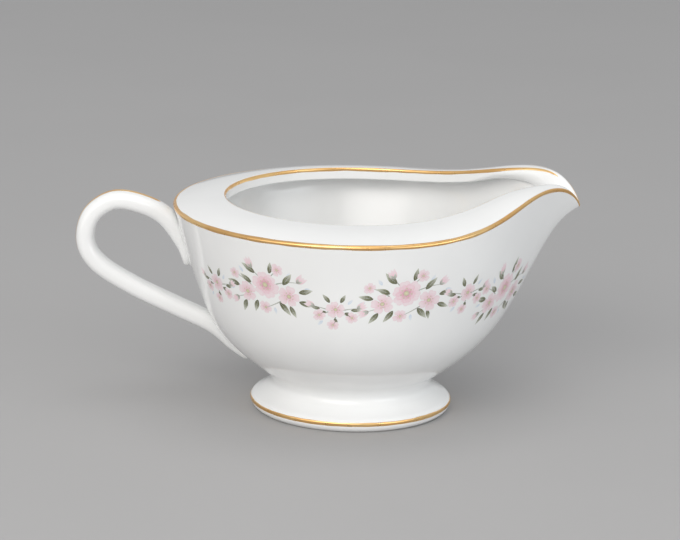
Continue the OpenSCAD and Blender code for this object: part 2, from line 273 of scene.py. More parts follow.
@dataclass(frozen=True)
class JugShape:
    """The bowl's driving sizes, in millimetres and degrees, and the curves worked out from them.

    In the pouring channel the lip's face leans back by pour_lean and drops by pour_drop of its height.
    The channel counts as pouring over pour_spread of its spread.
    """

    rim_r: float
    neck_h: float
    spout: Hill
    rim_h: float = 66.0
    neck_r: float = 24.5
    belly_slope: float = 34.5
    rim_lean: float = 17.3
    belly_fullness: float = 28.8
    rim_fullness: float = 36.1
    wall_t: float = 2.8
    floor_t: float = 3.6
    mouth_r: float = 41.0
    shoulder_rise: float = 2.9
    shoulder_crown: float = 0.5
    lip_h: float = 2.9
    lip_drop: float = 4.0
    pour_lean: float = 0.9
    pour_drop: float = 0.7
    pour_spread: float = 1.55
    flanks: Hill = Hill(15.1, 36.0, 2.0)
    notch: Hill = Hill(13.8, 10.0, 1.12)
    throat: Hill = Hill(12.8, 32.8, 1.7)
    channel: Hill = Hill(13.9, 14.1, 2.5)
    lip_rise: Hill = Hill(9.2, 34.6, 1.66)
    lip_notch: Hill = Hill(10.1, 5.8, 1.8)
    beak_share: float = 0.34
    flank_power: float = 1.65
    beak_power: float = 18.0
    lift_power: float = 6.5
    keel_round: float = 14.0
    ruler_points: int = 2001

    @classmethod
    def from_frame(cls) -> JugShape:
        """Takes the rim, the underside's height and the spout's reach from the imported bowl.

        Returns:
            The shape.
        """
        low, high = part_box("bowl")
        rim_r = round(high.y / MM, 1)
        spout = Hill(round(high.x / MM, 1) - rim_r, spread=16.5, power=1.44)
        return cls(rim_r=rim_r, neck_h=round(low.z / MM, 1), spout=spout)

    def edge(self, angle: Array) -> Array:
        """The rim's outer edge: a circle drawn out at the spout, lifted at its flanks and notched."""
        z = self.rim_h + self.flanks.at(angle) - self.notch.at(angle)
        return np.stack([self.rim_r + self.spout.at(angle), z], axis=-1)

    def mouth(self, angle: Array) -> Array:
        """The mouth's edge: a circle with a wide throat and a narrow channel towards the spout.

        Args:
            angle: Angles round the bowl.

        Returns:
            Points, (..., 2).
        """
        r = self.mouth_r + self.throat.at(angle) + self.channel.at(angle)
        z = self.rim_h + self.shoulder_rise + self.lip_rise.at(angle) - self.lip_notch.at(angle)
        return np.stack([r, z], axis=-1)

    def pour(self, angle: Array) -> Array:
        """How far an angle lies in the pouring channel, from 0 to 1."""
        return Hill(1.0, self.pour_spread * self.channel.spread, self.channel.power).at(angle)

    def belly_arms(self) -> Array:
        """The control points of the belly's cubic, which set its slopes and its fullness.

        Returns:
            Four points, from the underside to the rim, (4, 2).
        """
        low, lean = math.radians(self.belly_slope), math.radians(self.rim_lean)
        start, end = np.array([self.neck_r, self.neck_h]), np.array([self.rim_r, self.rim_h])
        out = self.belly_fullness * np.array([math.cos(low), math.sin(low)])
        back = self.rim_fullness * np.array([math.sin(lean), math.cos(lean)])
        return np.stack([start, start + out, end - back, end])

    def belly(self, t: Array) -> Array:
        """The belly's cubic at t, from 0 at the underside to 1 at the rim, (..., 2)."""
        p, t = self.belly_arms(), np.asarray(t, float)[..., None]
        return (1 - t) ** 3 * p[0] + 3 * (1 - t) ** 2 * t * p[1] + 3 * (1 - t) * t**2 * p[2] + t**3 * p[3]

    def inward(self, t: Array) -> Array:
        """Unit direction from the belly's outside to its inside: its slope, turned by a quarter.

        Args:
            t: Places along the belly's curve.

        Returns:
            Directions, (..., 2).
        """
        p, t = self.belly_arms(), np.asarray(t, float)[..., None]
        d = (1 - t) ** 2 * (p[1] - p[0]) + 2 * (1 - t) * t * (p[2] - p[1]) + t**2 * (p[3] - p[2])
        d = unit(d)
        return np.stack([-d[..., 1], d[..., 0]], axis=-1)

    def belly_ruler(self) -> tuple[Array, Array, Array]:
        """A ruler along the belly's curve.

        Returns:
            Evenly spaced t, the distance up from the underside at each, and its [radius, height].
        """
        t = np.linspace(0.0, 1.0, self.ruler_points)
        curve = self.belly(t)
        steps = np.linalg.norm(np.diff(curve, axis=0), axis=1)
        return t, np.concatenate([[0.0], np.cumsum(steps)]), curve

    def belly_r(self, z: Array) -> Array:
        """The round belly's radius at a height."""
        curve = self.belly_ruler()[2]
        return np.interp(z, curve[:, 1], curve[:, 0])

    def belly_t_at(self, arc: Array) -> Array:
        """The belly curve's t at a distance along it from the underside."""
        t, ruler, _ = self.belly_ruler()
        return np.interp(arc, ruler, t)

    def belly_arc_at(self, z: Array) -> Array:
        """The distance along the belly's curve to a height."""
        _, ruler, curve = self.belly_ruler()
        return np.interp(z, curve[:, 1], ruler)

    def wall(self, angle: Array, t: Array, depth: float | Array = 0.0) -> Array:
        """The wall's [radius, height]: the belly, drawn out and lifted towards the spout.

        With g the share of the rim's height, the spout's reach is (1 - beak_share) g^flank_power +
        beak_share g^beak_power, over a keel that is rounder lower down, and its lift is g^lift_power.

        Args:
            angle: Angles round the bowl.
            t: Places along the belly's curve, of a shape that goes with the angles.
            depth: Distance under the outside, one for all or of the same shape.

        Returns:
            Points, (..., 2).
        """
        angle, t = np.broadcast_arrays(np.asarray(angle, float), np.asarray(t, float))
        round_belly = self.belly(t)
        g = np.maximum((round_belly[..., 1] - self.neck_h) / (self.rim_h - self.neck_h), 0.0)
        reach = (1 - self.beak_share) * g**self.flank_power + self.beak_share * g**self.beak_power
        drawn = self.spout.at(angle, self.keel_round * (1 - g)) * reach
        lifted = (self.edge(angle)[..., 1] - self.rim_h) * g**self.lift_power
        deep = np.asarray(depth)[..., None] * self.inward(t)
        return round_belly + deep + np.stack([drawn, lifted], axis=-1)

    def rim_t(self, angle: Array, down: float | Array, nudge: float = 0.005) -> Array:
        """The wall's t at a distance down from the rim's edge, where the spout stretches the wall."""
        step = self.wall(angle, 1.0) - self.wall(angle, 1.0 - nudge)
        return 1.0 - nudge * down / np.linalg.norm(step, axis=-1)

    def shoulder(self, angle: Array, v: Array) -> Array:
        """The shoulder: a line from the rim's edge to the mouth's, crowned by half a sine wave.

        Args:
            angle: Angles round the bowl.
            v: Places from the rim's edge (0) to the mouth's (1), of a shape that goes with the angles.

        Returns:
            Points, (..., 2).
        """
        angle, v = np.broadcast_arrays(np.asarray(angle, float), np.asarray(v, float))
        edge, mouth = self.edge(angle), self.mouth(angle)
        crown = np.stack([np.zeros_like(v), self.shoulder_crown * np.sin(np.pi * v)], axis=-1)
        return edge + (mouth - edge) * v[..., None] + crown

    def shoulder_w(self, angle: Array) -> Array:
        """The shoulder's width at an angle."""
        return self.edge(angle)[..., 0] - self.mouth(angle)[..., 0]

    def lip_foot(self, angle: Array) -> Array:
        """The lower edge of the lip's face, which leans back along the spout in the channel.

        Args:
            angle: Angles round the bowl.

        Returns:
            Points, (..., 2).
        """
        k = self.pour(angle)
        back = self.pour_lean * self.lip_h * k
        down = self.lip_drop + (self.pour_drop * self.lip_h - self.lip_drop) * k
        return self.mouth(angle) - np.stack([back, down], axis=-1)


class Nodes:
    """A short way to lay out shader nodes in a tree."""

    def __init__(self, tree: bpy.types.NodeTree) -> None:
        """Keeps the tree to lay out in."""
        self.tree = tree

    def put(self, socket: bpy.types.NodeSocket, value: object) -> None:
        """Links an output to an input, or sets the input's own value.

        Args:
            socket: The input.
            value: An output socket, a number, a vector or a colour of three values.
        """
        if isinstance(value, bpy.types.NodeSocket):
            self.tree.links.new(value, socket)
        elif isinstance(value, tuple) and socket.type == "RGBA" and len(value) == 3:
            socket.default_value = (*value, 1.0)
        else:
            socket.default_value = value

    def feed(self, node: bpy.types.Node, **inputs: object) -> None:
        """Sets a node's inputs, by their names with _ for a space."""
        for name, value in inputs.items():
            self.put(node.inputs[name.replace("_", " ")], value)

    def add(self, kind: str, **inputs: object) -> bpy.types.Node:
        """Adds a node and sets its inputs.

        Args:
            kind: The end of Blender's name for the node's type, after ShaderNode.
            inputs: Values or output sockets, by the input's name with _ for a space.

        Returns:
            The node.
        """
        node = self.tree.nodes.new(f"ShaderNode{kind}")
        self.feed(node, **inputs)
        return node

    def math(self, operation: str, a: object, b: object) -> bpy.types.NodeSocket:
        """Works out one value from two.

        Args:
            operation: Blender's name for the sum.
            a: The first value.
            b: The second value.

        Returns:
            The result, not clamped.
        """
        node = self.add("Math")
        node.operation = operation
        self.put(node.inputs[0], a)
        self.put(node.inputs[1], b)
        return node.outputs[0]

    def span(
        self, value: object, low: float, high: float, to_low: float, to_high: float
    ) -> bpy.types.NodeSocket:
        """Maps low..high smoothly to to_low..to_high.

        Args:
            value: The value to map.
            low: Value at and under which to_low comes out.
            high: Value at and over which to_high comes out.
            to_low: Result at the low end.
            to_high: Result at the high end.

        Returns:
            The result.
        """
        node = self.add("MapRange")
        node.interpolation_type = "SMOOTHSTEP"
        for socket, number in zip(node.inputs[:5], (value, low, high, to_low, to_high)):
            self.put(socket, number)
        return node.outputs[0]

    def mix(self, share: object, a: object, b: object, blend_type: str = "MIX") -> bpy.types.NodeSocket:
        """Mixes two colours.

        Args:
            share: Share of the second colour, from 0 to 1.
            a: The first colour.
            b: The second colour.
            blend_type: Blender's name for the way they mix.

        Returns:
            The mixed colour.
        """
        node = self.add("Mix")
        node.data_type, node.blend_type = "RGBA", blend_type
        colour_a, colour_b = (s for s in node.inputs if s.type == "RGBA")
        self.put(node.inputs[0], share)
        self.put(colour_a, a)
        self.put(colour_b, b)
        return next(s for s in node.outputs if s.type == "RGBA")

    def noise(self, vector: object, scale: float, detail: float = 2.0) -> bpy.types.NodeSocket:
        """Smooth noise from 0 to 1."""
        return self.add("TexNoise", Vector=vector, Scale=scale, Detail=detail).outputs["Fac"]

    def bump(self, height: object, distance_mm: float, strength: float = 1.0) -> bpy.types.NodeSocket:
        """A normal with a height's relief."""
        node = self.add("Bump", Strength=strength, Distance=distance_mm * MM, Height=height)
        return node.outputs["Normal"]

    def field(self, name: str) -> bpy.types.NodeSocket:
        """A value kept at the mesh's points.

        Args:
            name: The field's name.

        Returns:
            The value.
        """
        node = self.add("Attribute")
        node.attribute_name = name
        return node.outputs["Fac"]

    def where(self) -> bpy.types.NodeSocket:
        """The place in the frame, in metres."""
        return self.add("TexCoord").outputs["Object"]


@dataclass(frozen=True)
class GlazeFilm:
    """The shared look of the glaze, as a node group: clouded depth, uneven gloss and a faint ripple.

    Attributes:
        name: Name of the node group.
        cloud_scale: Scale of the clouds in the glaze.
        cloud_dim: Brightness of the darkest clouds.
        gloss_scale: Scale of the patches of gloss.
        gloss: Least and greatest roughness.
        ripple_scale: Scale of the ripple.
        grain_scale: Scale of the fine grain on it.
        grain_share: Height of the grain as a share of the ripple's.
    """

    name: str = "glaze_film"
    cloud_scale: float = 38.0
    cloud_dim: float = 0.965
    gloss_scale: float = 160.0
    gloss: tuple[float, float] = (0.055, 0.1)
    ripple_scale: float = 55.0
    grain_scale: float = 520.0
    grain_share: float = 0.06

    def group(self) -> bpy.types.NodeTree:
        """The node group, made once."""
        return bpy.data.node_groups.get(self.name) or self.make()

    def make(self) -> bpy.types.NodeTree:
        """Builds the node group.

        Returns:
            A group with the inputs Tint, the share of a darker tint in creases (pooled glaze and painted
            shade) and that tint, and the outputs Color, Roughness and Height.
        """
        tree = bpy.data.node_groups.new(self.name, "ShaderNodeTree")
        for name, kind in (("Tint", "Color"), ("Pool", "Float"), ("Pool Tint", "Color")):
            tree.interface.new_socket(name, in_out="INPUT", socket_type=f"NodeSocket{kind}")
        for name, kind in (("Color", "Color"), ("Roughness", "Float"), ("Height", "Float")):
            tree.interface.new_socket(name, in_out="OUTPUT", socket_type=f"NodeSocket{kind}")
        n = Nodes(tree)
        given, out = tree.nodes.new("NodeGroupInput").outputs, tree.nodes.new("NodeGroupOutput")
        where = n.where()
        cloud = n.span(n.noise(where, self.cloud_scale, 3.0), *NOISE_SPAN, self.cloud_dim, 1.0)
        veil = n.add("CombineColor", Red=cloud, Green=cloud, Blue=cloud).outputs["Color"]
        clouded = n.mix(1.0, given["Tint"], veil, "MULTIPLY")
        grain = n.math("MULTIPLY", n.noise(where, self.grain_scale, 1.0), self.grain_share)
        # Mixes in the darker tint by its share: pooled glaze, and painted shade in creases and hollows.
        n.feed(
            out,
            Color=n.mix(given["Pool"], clouded, given["Pool Tint"]),
            Roughness=n.span(n.noise(where, self.gloss_scale), 0.3, 0.75, *self.gloss),
            Height=n.math("ADD", n.noise(where, self.ripple_scale, 1.0), grain),
        )
        return tree

    def add(self, n: Nodes, **inputs: object) -> bpy.types.bpy_prop_collection:
        """Places the group in a material.

        Args:
            n: The material's nodes.
            inputs: The group's inputs, by name with _ for a space.

        Returns:
            The group's outputs, by name.
        """
        node = n.add("Group")
        node.node_tree = self.group()
        n.feed(node, **inputs)
        return node.outputs


@dataclass(frozen=True)
class Finish:
    """A finish, which is one material.

    Attributes:
        name: Name of the material.
    """

    name: str

    def material(self) -> bpy.types.Material:
        """The material, made once."""
        return bpy.data.materials.get(self.name) or self.make()

    def make(self) -> bpy.types.Material:
        """Builds the material.

        Returns:
            The material, with the finish's own nodes laid out.
        """
        material = bpy.data.materials.new(self.name)
        material.use_nodes = True
        self.lay_out(Nodes(material.node_tree), material.node_tree.nodes["Principled BSDF"])
        return material

    def lay_out(self, n: Nodes, shader: bpy.types.Node) -> None:
        """Lays out the nodes that feed the shader."""
        raise NotImplementedError


@dataclass(frozen=True)
class Glaze(Finish):
    """Clear glaze over white porcelain.

    Attributes:
        name: Name of the material.
        tint: Colour of the body under the glaze.
        pool_and_shade_tint: Darker colour in creases and hollows: the glaze's own tint where it lies
            deep, with painted shade.
        biscuit: Colour of the body where it is left bare.
        biscuit_rough: Roughness of the bare body.
        ripple_mm: Height of the glaze's ripple.
    """

    name: str = "glazed_porcelain"
    tint: Colour = (0.9, 0.903, 0.898)
    pool_and_shade_tint: Colour = (0.74, 0.77, 0.76)
    biscuit: Colour = (0.70, 0.67, 0.62)
    biscuit_rough: float = 0.65
    ripple_mm: float = 0.02

    def lay_out(self, n: Nodes, shader: bpy.types.Node) -> None:
        """Lays out the glaze, which gives way to the bare body under the foot.

        Args:
            n: The material's nodes.
            shader: The shader that they feed.
        """
        # The pool field darkens creases and hollows: partly pooled glaze, partly painted shade.
        glaze = GlazeFilm().add(n, Tint=self.tint, Pool=n.field("pool_and_shade"), Pool_Tint=self.pool_and_shade_tint)
        bare = n.field("bare")
        dull = n.math("MULTIPLY", bare, self.biscuit_rough)
        n.feed(
            shader,
            Base_Color=n.mix(bare, glaze["Color"], self.biscuit),
            Roughness=n.math("MAXIMUM", glaze["Roughness"], dull),
            Normal=n.bump(glaze["Height"], self.ripple_mm),
            IOR=GLAZE_IOR,
        )


@dataclass(frozen=True)
class Gilding(Finish):
    """Fired gold, brushed on by hand and rubbed thin in places.

    Attributes:
        name: Name of the material.
        gold: Colour of the gold.
        worn: Colour where the gold is rubbed thin.
        wear: Share of the line that is rubbed thin.
        wear_edge: How softly the thin places begin.
        wear_most: Share of the worn colour where it is thinnest.
        wear_scale: Scale of the thin places.
        gloss: Least and greatest roughness.
        gloss_scale: Scale of the patches of gloss.
        brush_mm: Height of the brush's marks.
        brush_scale: Scale of the brush's marks.
        brush_share: Strength of the brush's marks.
    """

    name: str = "fired_gold"
    gold: Colour = (0.98, 0.66, 0.3)
    worn: Colour = (0.84, 0.47, 0.17)
    wear: float = 0.4
    wear_edge: float = 0.25
    wear_most: float = 0.7
    wear_scale: float = 60.0
    gloss: tuple[float, float] = (0.26, 0.36)
    gloss_scale: float = 300.0
    brush_mm: float = 0.02
    brush_scale: float = 700.0
    brush_share: float = 0.15

    def lay_out(self, n: Nodes, shader: bpy.types.Node) -> None:
        """Lays out the gold, which is darker where it is thin.

        Args:
            n: The material's nodes.
            shader: The shader that they feed.
        """
        where, thick = n.where(), self.wear + self.wear_edge
        thin = n.span(n.noise(where, self.wear_scale, 3.0), self.wear, thick, self.wear_most, 0.0)
        n.feed(
            shader,
            Base_Color=n.mix(thin, self.gold, self.worn),
            Roughness=n.span(n.noise(where, self.gloss_scale), *NOISE_SPAN, *self.gloss),
            Normal=n.bump(n.noise(where, self.brush_scale), self.brush_mm, self.brush_share),
            Metallic=1.0,
        )


def place(name: str, surface: Surface, finish: Finish, slot: Slot, *nodes: str) -> None:
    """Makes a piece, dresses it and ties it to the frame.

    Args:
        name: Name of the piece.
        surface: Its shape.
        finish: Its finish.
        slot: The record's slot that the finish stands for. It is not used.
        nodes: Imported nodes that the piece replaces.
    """
    piece = surface.build(name)
    piece.data.materials.append(finish.material())
    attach(piece, BODY)
    if nodes:
        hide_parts(*nodes)
    LOG.info("%s: %d faces", piece.name, len(piece.data.polygons))


@dataclass
class Bowl:
    """The slip-cast bowl with its shoulder, lip and spout.

    Places on the wall (inner_...) are shares of the belly's curve, places under the shoulder
    (under_...) are shares of its width from the rim, and places on the underside and in the well (disc,
    well_...) are shares of the underside's radius.
    """

    shape: JugShape
    stations: int = 384
    crowding: float = 1.25
    rim_round: float = 0.9
    mouth_round: float = 0.8
    lip_round: float = 0.4
    tip_thin: Hill = Hill(0.45, 8.0, 2.0)
    soft_from: float = 38.0
    soft_over: float = 18.0
    soft_face: float = 0.5
    soft_under: float = 0.45
    under_high: float = 0.93
    under_low: float = 0.3
    inner_top: float = 0.955
    inner_bend: float = 0.9
    inner_foot: float = 0.06
    well_corner: float = 0.92
    well_flat: float = 0.62
    disc: tuple[float, float] = (0.04, 0.96)
    pin_r: float = 0.3
    # A darker tint near the foot, fading up: partly pooled glaze, partly painted shade under the belly.
    pool_and_shade_depth: float = 0.3
    pool_and_shade_h: float = 1.6
    level_rows: int = 6
    wall_rows: int = 74
    bend_rows: int = 9
    shoulder_rows: int = 24
    face_rows: int = 5
    lip_rows: int = 11
    under_rows: int = 12
    inside_rows: int = 52
    well_rows: int = 10

    def angles(self) -> Array:
        """Angles round the bowl, closer together at the spout."""
        u = np.linspace(-1.0, 1.0, self.stations, endpoint=False)
        return 180.0 * np.sign(u) * np.abs(u) ** self.crowding

    def rim_cut(self, angle: Array) -> Array:
        """How far the rim's rounding reaches from its edge, less at the spout's tip."""
        return self.rim_round * (1 - self.tip_thin.at(angle))

    def rim_bend(self, angle: Array, count: int) -> Array:
        """The rounded rim, from the wall over the edge to the shoulder.

        Args:
            angle: Angles round the bowl, (n,).
            count: Points over the edge.

        Returns:
            Points, (count, n, 2).
        """
        s, cut = self.shape, self.rim_cut(angle)
        low = s.wall(angle, s.rim_t(angle, cut))
        high = s.shoulder(angle, cut / s.shoulder_w(angle))
        return bend(low, s.edge(angle), high, count)

    def mouth_bend(self, angle: Array, count: int) -> Array:
        """The rounded mouth's edge, from the shoulder down on to the lip's face.

        Args:
            angle: Angles round the bowl, (n,).
            count: Points over the edge.

        Returns:
            Points, (count, n, 2).
        """
        s = self.shape
        mouth = s.mouth(angle)
        start = s.shoulder(angle, 1 - self.mouth_round / s.shoulder_w(angle))
        end = mouth + (s.lip_foot(angle) - mouth) * self.mouth_round / s.lip_drop
        return bend(start, mouth, end, count)

    def under(self, angle: Array, v: Array) -> Array:
        """The shoulder's underside: along its top and thicker at the lip, but straight in the channel.

        Args:
            angle: Angles round the bowl, (n,).
            v: Places across the shoulder, of a shape that goes with the angles.

        Returns:
            Points, (..., 2).
        """
        s = self.shape
        k = s.pour(angle)[..., None]
        top, foot = s.wall(angle, self.inner_top, s.wall_t), s.lip_foot(angle)
        thick = s.lip_h + (s.lip_drop - s.lip_h) * smooth_step(v)
        level = s.shoulder(angle, v) - np.stack([np.zeros_like(thick), thick], axis=-1)
        return (1 - k) * level + k * (top + (foot - top) * v[..., None])

    @staticmethod
    def level(radius: Array, height: float, n: int) -> Array:
        """Level rings of a section at n angles, from radii by rows, (rows, n, 2)."""
        rings = np.broadcast_to(radius, (len(radius), n))
        return np.stack([rings, np.full(rings.shape, height)], axis=-1)

    def outside(self, angle: Array) -> Array:
        """The section's outside: the underside, the wall, the rim, the shoulder and the mouth's edge.

        Args:
            angle: Angles round the bowl, (n,).

        Returns:
            Points, (m, n, 2).
        """
        s, n = self.shape, len(angle)
        cut, width = self.rim_cut(angle), s.shoulder_w(angle)
        disc_r = np.linspace(*self.disc, self.level_rows)[:, None] * s.neck_r
        wall = between(0.0, s.rim_t(angle, cut), (self.wall_rows, n))
        shoulder = between(cut / width, 1 - self.mouth_round / width, (self.shoulder_rows, n))
        return np.concatenate([
            self.level(disc_r, s.neck_h, n),
            s.wall(angle, wall),
            self.rim_bend(angle, self.bend_rows),
            s.shoulder(angle, shoulder),
            self.mouth_bend(angle, self.bend_rows),
        ])

    def lip(self, angle: Array) -> Array:
        """The section's lip: its face, its lower edge, which is softer near the spout, and the underside.

        Args:
            angle: Angles round the bowl, (n,).

        Returns:
            Points, (m, n, 2).
        """
        s, n = self.shape, len(angle)
        mouth, foot = s.mouth(angle), s.lip_foot(angle)
        soft = smooth_step((self.soft_from - np.abs(angle)) / self.soft_over)
        face_end = 1 - self.lip_round / s.lip_drop - self.soft_face * soft
        under_start = self.under_high - self.soft_under * soft
        face = between(self.mouth_round / s.lip_drop, face_end, (self.face_rows, n))
        lip_end = mouth + (foot - mouth) * face_end[:, None]
        return np.concatenate([
            mouth + (foot - mouth) * face[..., None],
            bend(lip_end, foot, self.under(angle, under_start), self.lip_rows),
            self.under(angle, between(under_start, self.under_low, (self.under_rows, n))),
        ])

    def inside(self, angle: Array) -> Array:
        """The section's inside: the turn under the shoulder, the wall and the well.

        Args:
            angle: Angles round the bowl, (n,).

        Returns:
            Points, (m, n, 2).
        """
        s, n = self.shape, len(angle)
        under_end = self.under(angle, np.full(n, self.under_low))
        top, turn_end, well_start = (
            s.wall(angle, t, s.wall_t) for t in (self.inner_top, self.inner_bend, self.inner_foot)
        )
        wall = between(self.inner_bend, self.inner_foot, (self.inside_rows, n))
        well_h, flat_r = s.neck_h + s.floor_t, self.well_flat * s.neck_r
        corner, flat = np.array([[self.well_corner * s.neck_r, well_h], [flat_r, well_h]])
        return np.concatenate([
            bend(under_end, top, turn_end, self.bend_rows),
            s.wall(angle, wall, s.wall_t),
            bend(well_start, corner, flat, self.well_rows),
            self.level(between(flat_r, self.pin_r, (self.level_rows, n)), well_h, n),
        ])

    def surface(self) -> Surface:
        """The bowl as one closed skin.

        Returns:
            The skin, with a field for a darker tint that fades up from the foot: partly pooled glaze,
            partly painted shade under the belly.
        """
        s, angle = self.shape, self.angles()
        section = np.concatenate([self.outside(angle), self.lip(angle), self.inside(angle)])
        points = turned(section, angle).transpose(1, 0, 2)
        # Painted shade with pooled glaze: darker towards the underside and the foot.
        pool_and_shade = self.pool_and_shade_depth * np.exp(-np.maximum(points[..., 2] - s.neck_h, 0.0) / self.pool_and_shade_h)
        low, high = np.array([[0.0, 0.0, s.neck_h], [0.0, 0.0, s.neck_h + s.floor_t]])
        poles = {"low_col": low, "high_col": high}
        return Surface(points, wrap_rows=True, poles=poles, fields={"pool_and_shade": pool_and_shade})

    def build(self, glaze: Glaze) -> None:
        """Makes the bowl and puts its glaze on."""
        place("porcelain_bowl", self.surface(), glaze, Slot.PORCELAIN, "bowl")


@dataclass(frozen=True)
class Brush:
    """A brush loaded with gold, which lays a line as a thin film.

    Attributes:
        gold: The gold's finish.
        sway: How far a line's width swells, as a share of it.
        waves: Number of waves in the swelling.
        wave_counts: Range of the waves' turns round a line.
        lift: Height of the film's middle over the surface.
        sink: Depth of the film's back under the surface.
        edge_drop: How far the film's edges fall, as a share of its height.
        flatness: How flat the film is before its edges fall.
    """

    gold: Gilding = Gilding()
    sway: float = 0.12
    waves: int = 5
    wave_counts: tuple[int, int] = (3, 40)
    lift: float = 0.06
    sink: float = 0.15
    edge_drop: float = 1.4
    flatness: int = 6

    def widths(self, angle: Array, seed: int) -> Array:
        """Widths round a line as shares of its own, from waves that close on themselves.

        Args:
            angle: Places round the line in degrees.
            seed: Seed of the waves.

        Returns:
            Shares, of the same shape.
        """
        rng = np.random.default_rng(seed)
        counts = rng.integers(*self.wave_counts, self.waves)[:, None]
        sway = np.sin(np.radians(counts * angle) + rng.uniform(0, 2 * np.pi, self.waves)[:, None])
        return 1.0 + self.sway * sway.mean(axis=0)

    @staticmethod
    def taper(u: Array, over: float, least: float) -> Array:
        """Narrows a line over a share of its length at both ends (u = 0 and 1), down to a least share."""
        return np.minimum(1.0, np.sqrt(np.minimum(u, 1 - u) / over + least))

    def film(self, strip: Array, out: Array, closed: bool) -> Surface:
        """A thin closed film on a strip: full in the middle, sunk under the surface at its edges.

        Args:
            strip: Points on the surface below, (along, across, 3).
            out: Unit normals of that surface, of the same shape.
            closed: The strip runs round and joins itself.

        Returns:
            The film, with its place along and across as a map.
        """
        along, across = strip.shape[:2]
        v = np.linspace(-1.0, 1.0, across)[None, :, None]
        front = strip + out * self.lift * (1.0 - self.edge_drop * np.abs(v) ** self.flatness)
        points = np.concatenate([front, (strip - out * self.sink)[:, ::-1]], axis=1)
        rows, cols = np.arange(along), np.linspace(0, 1, 2 * across)
        uv = np.stack(np.meshgrid(rows, cols, indexing="ij"), axis=-1) * [1.0 / along, 1.0]
        ends = {} if closed else tips(points)
        return Surface(points, wrap_rows=closed, wrap_cols=True, poles=ends, uv=uv)

    def paint(self, line: str, strip: Array, out: Array, closed: bool) -> None:
        """Lays a line, named for the edge or piece that it follows, on a strip with its normals."""
        film = self.film(strip, out, closed)
        place(f"{line}_gold_line", film, self.gold, Slot.GILT, f"{line}_gilt_line")


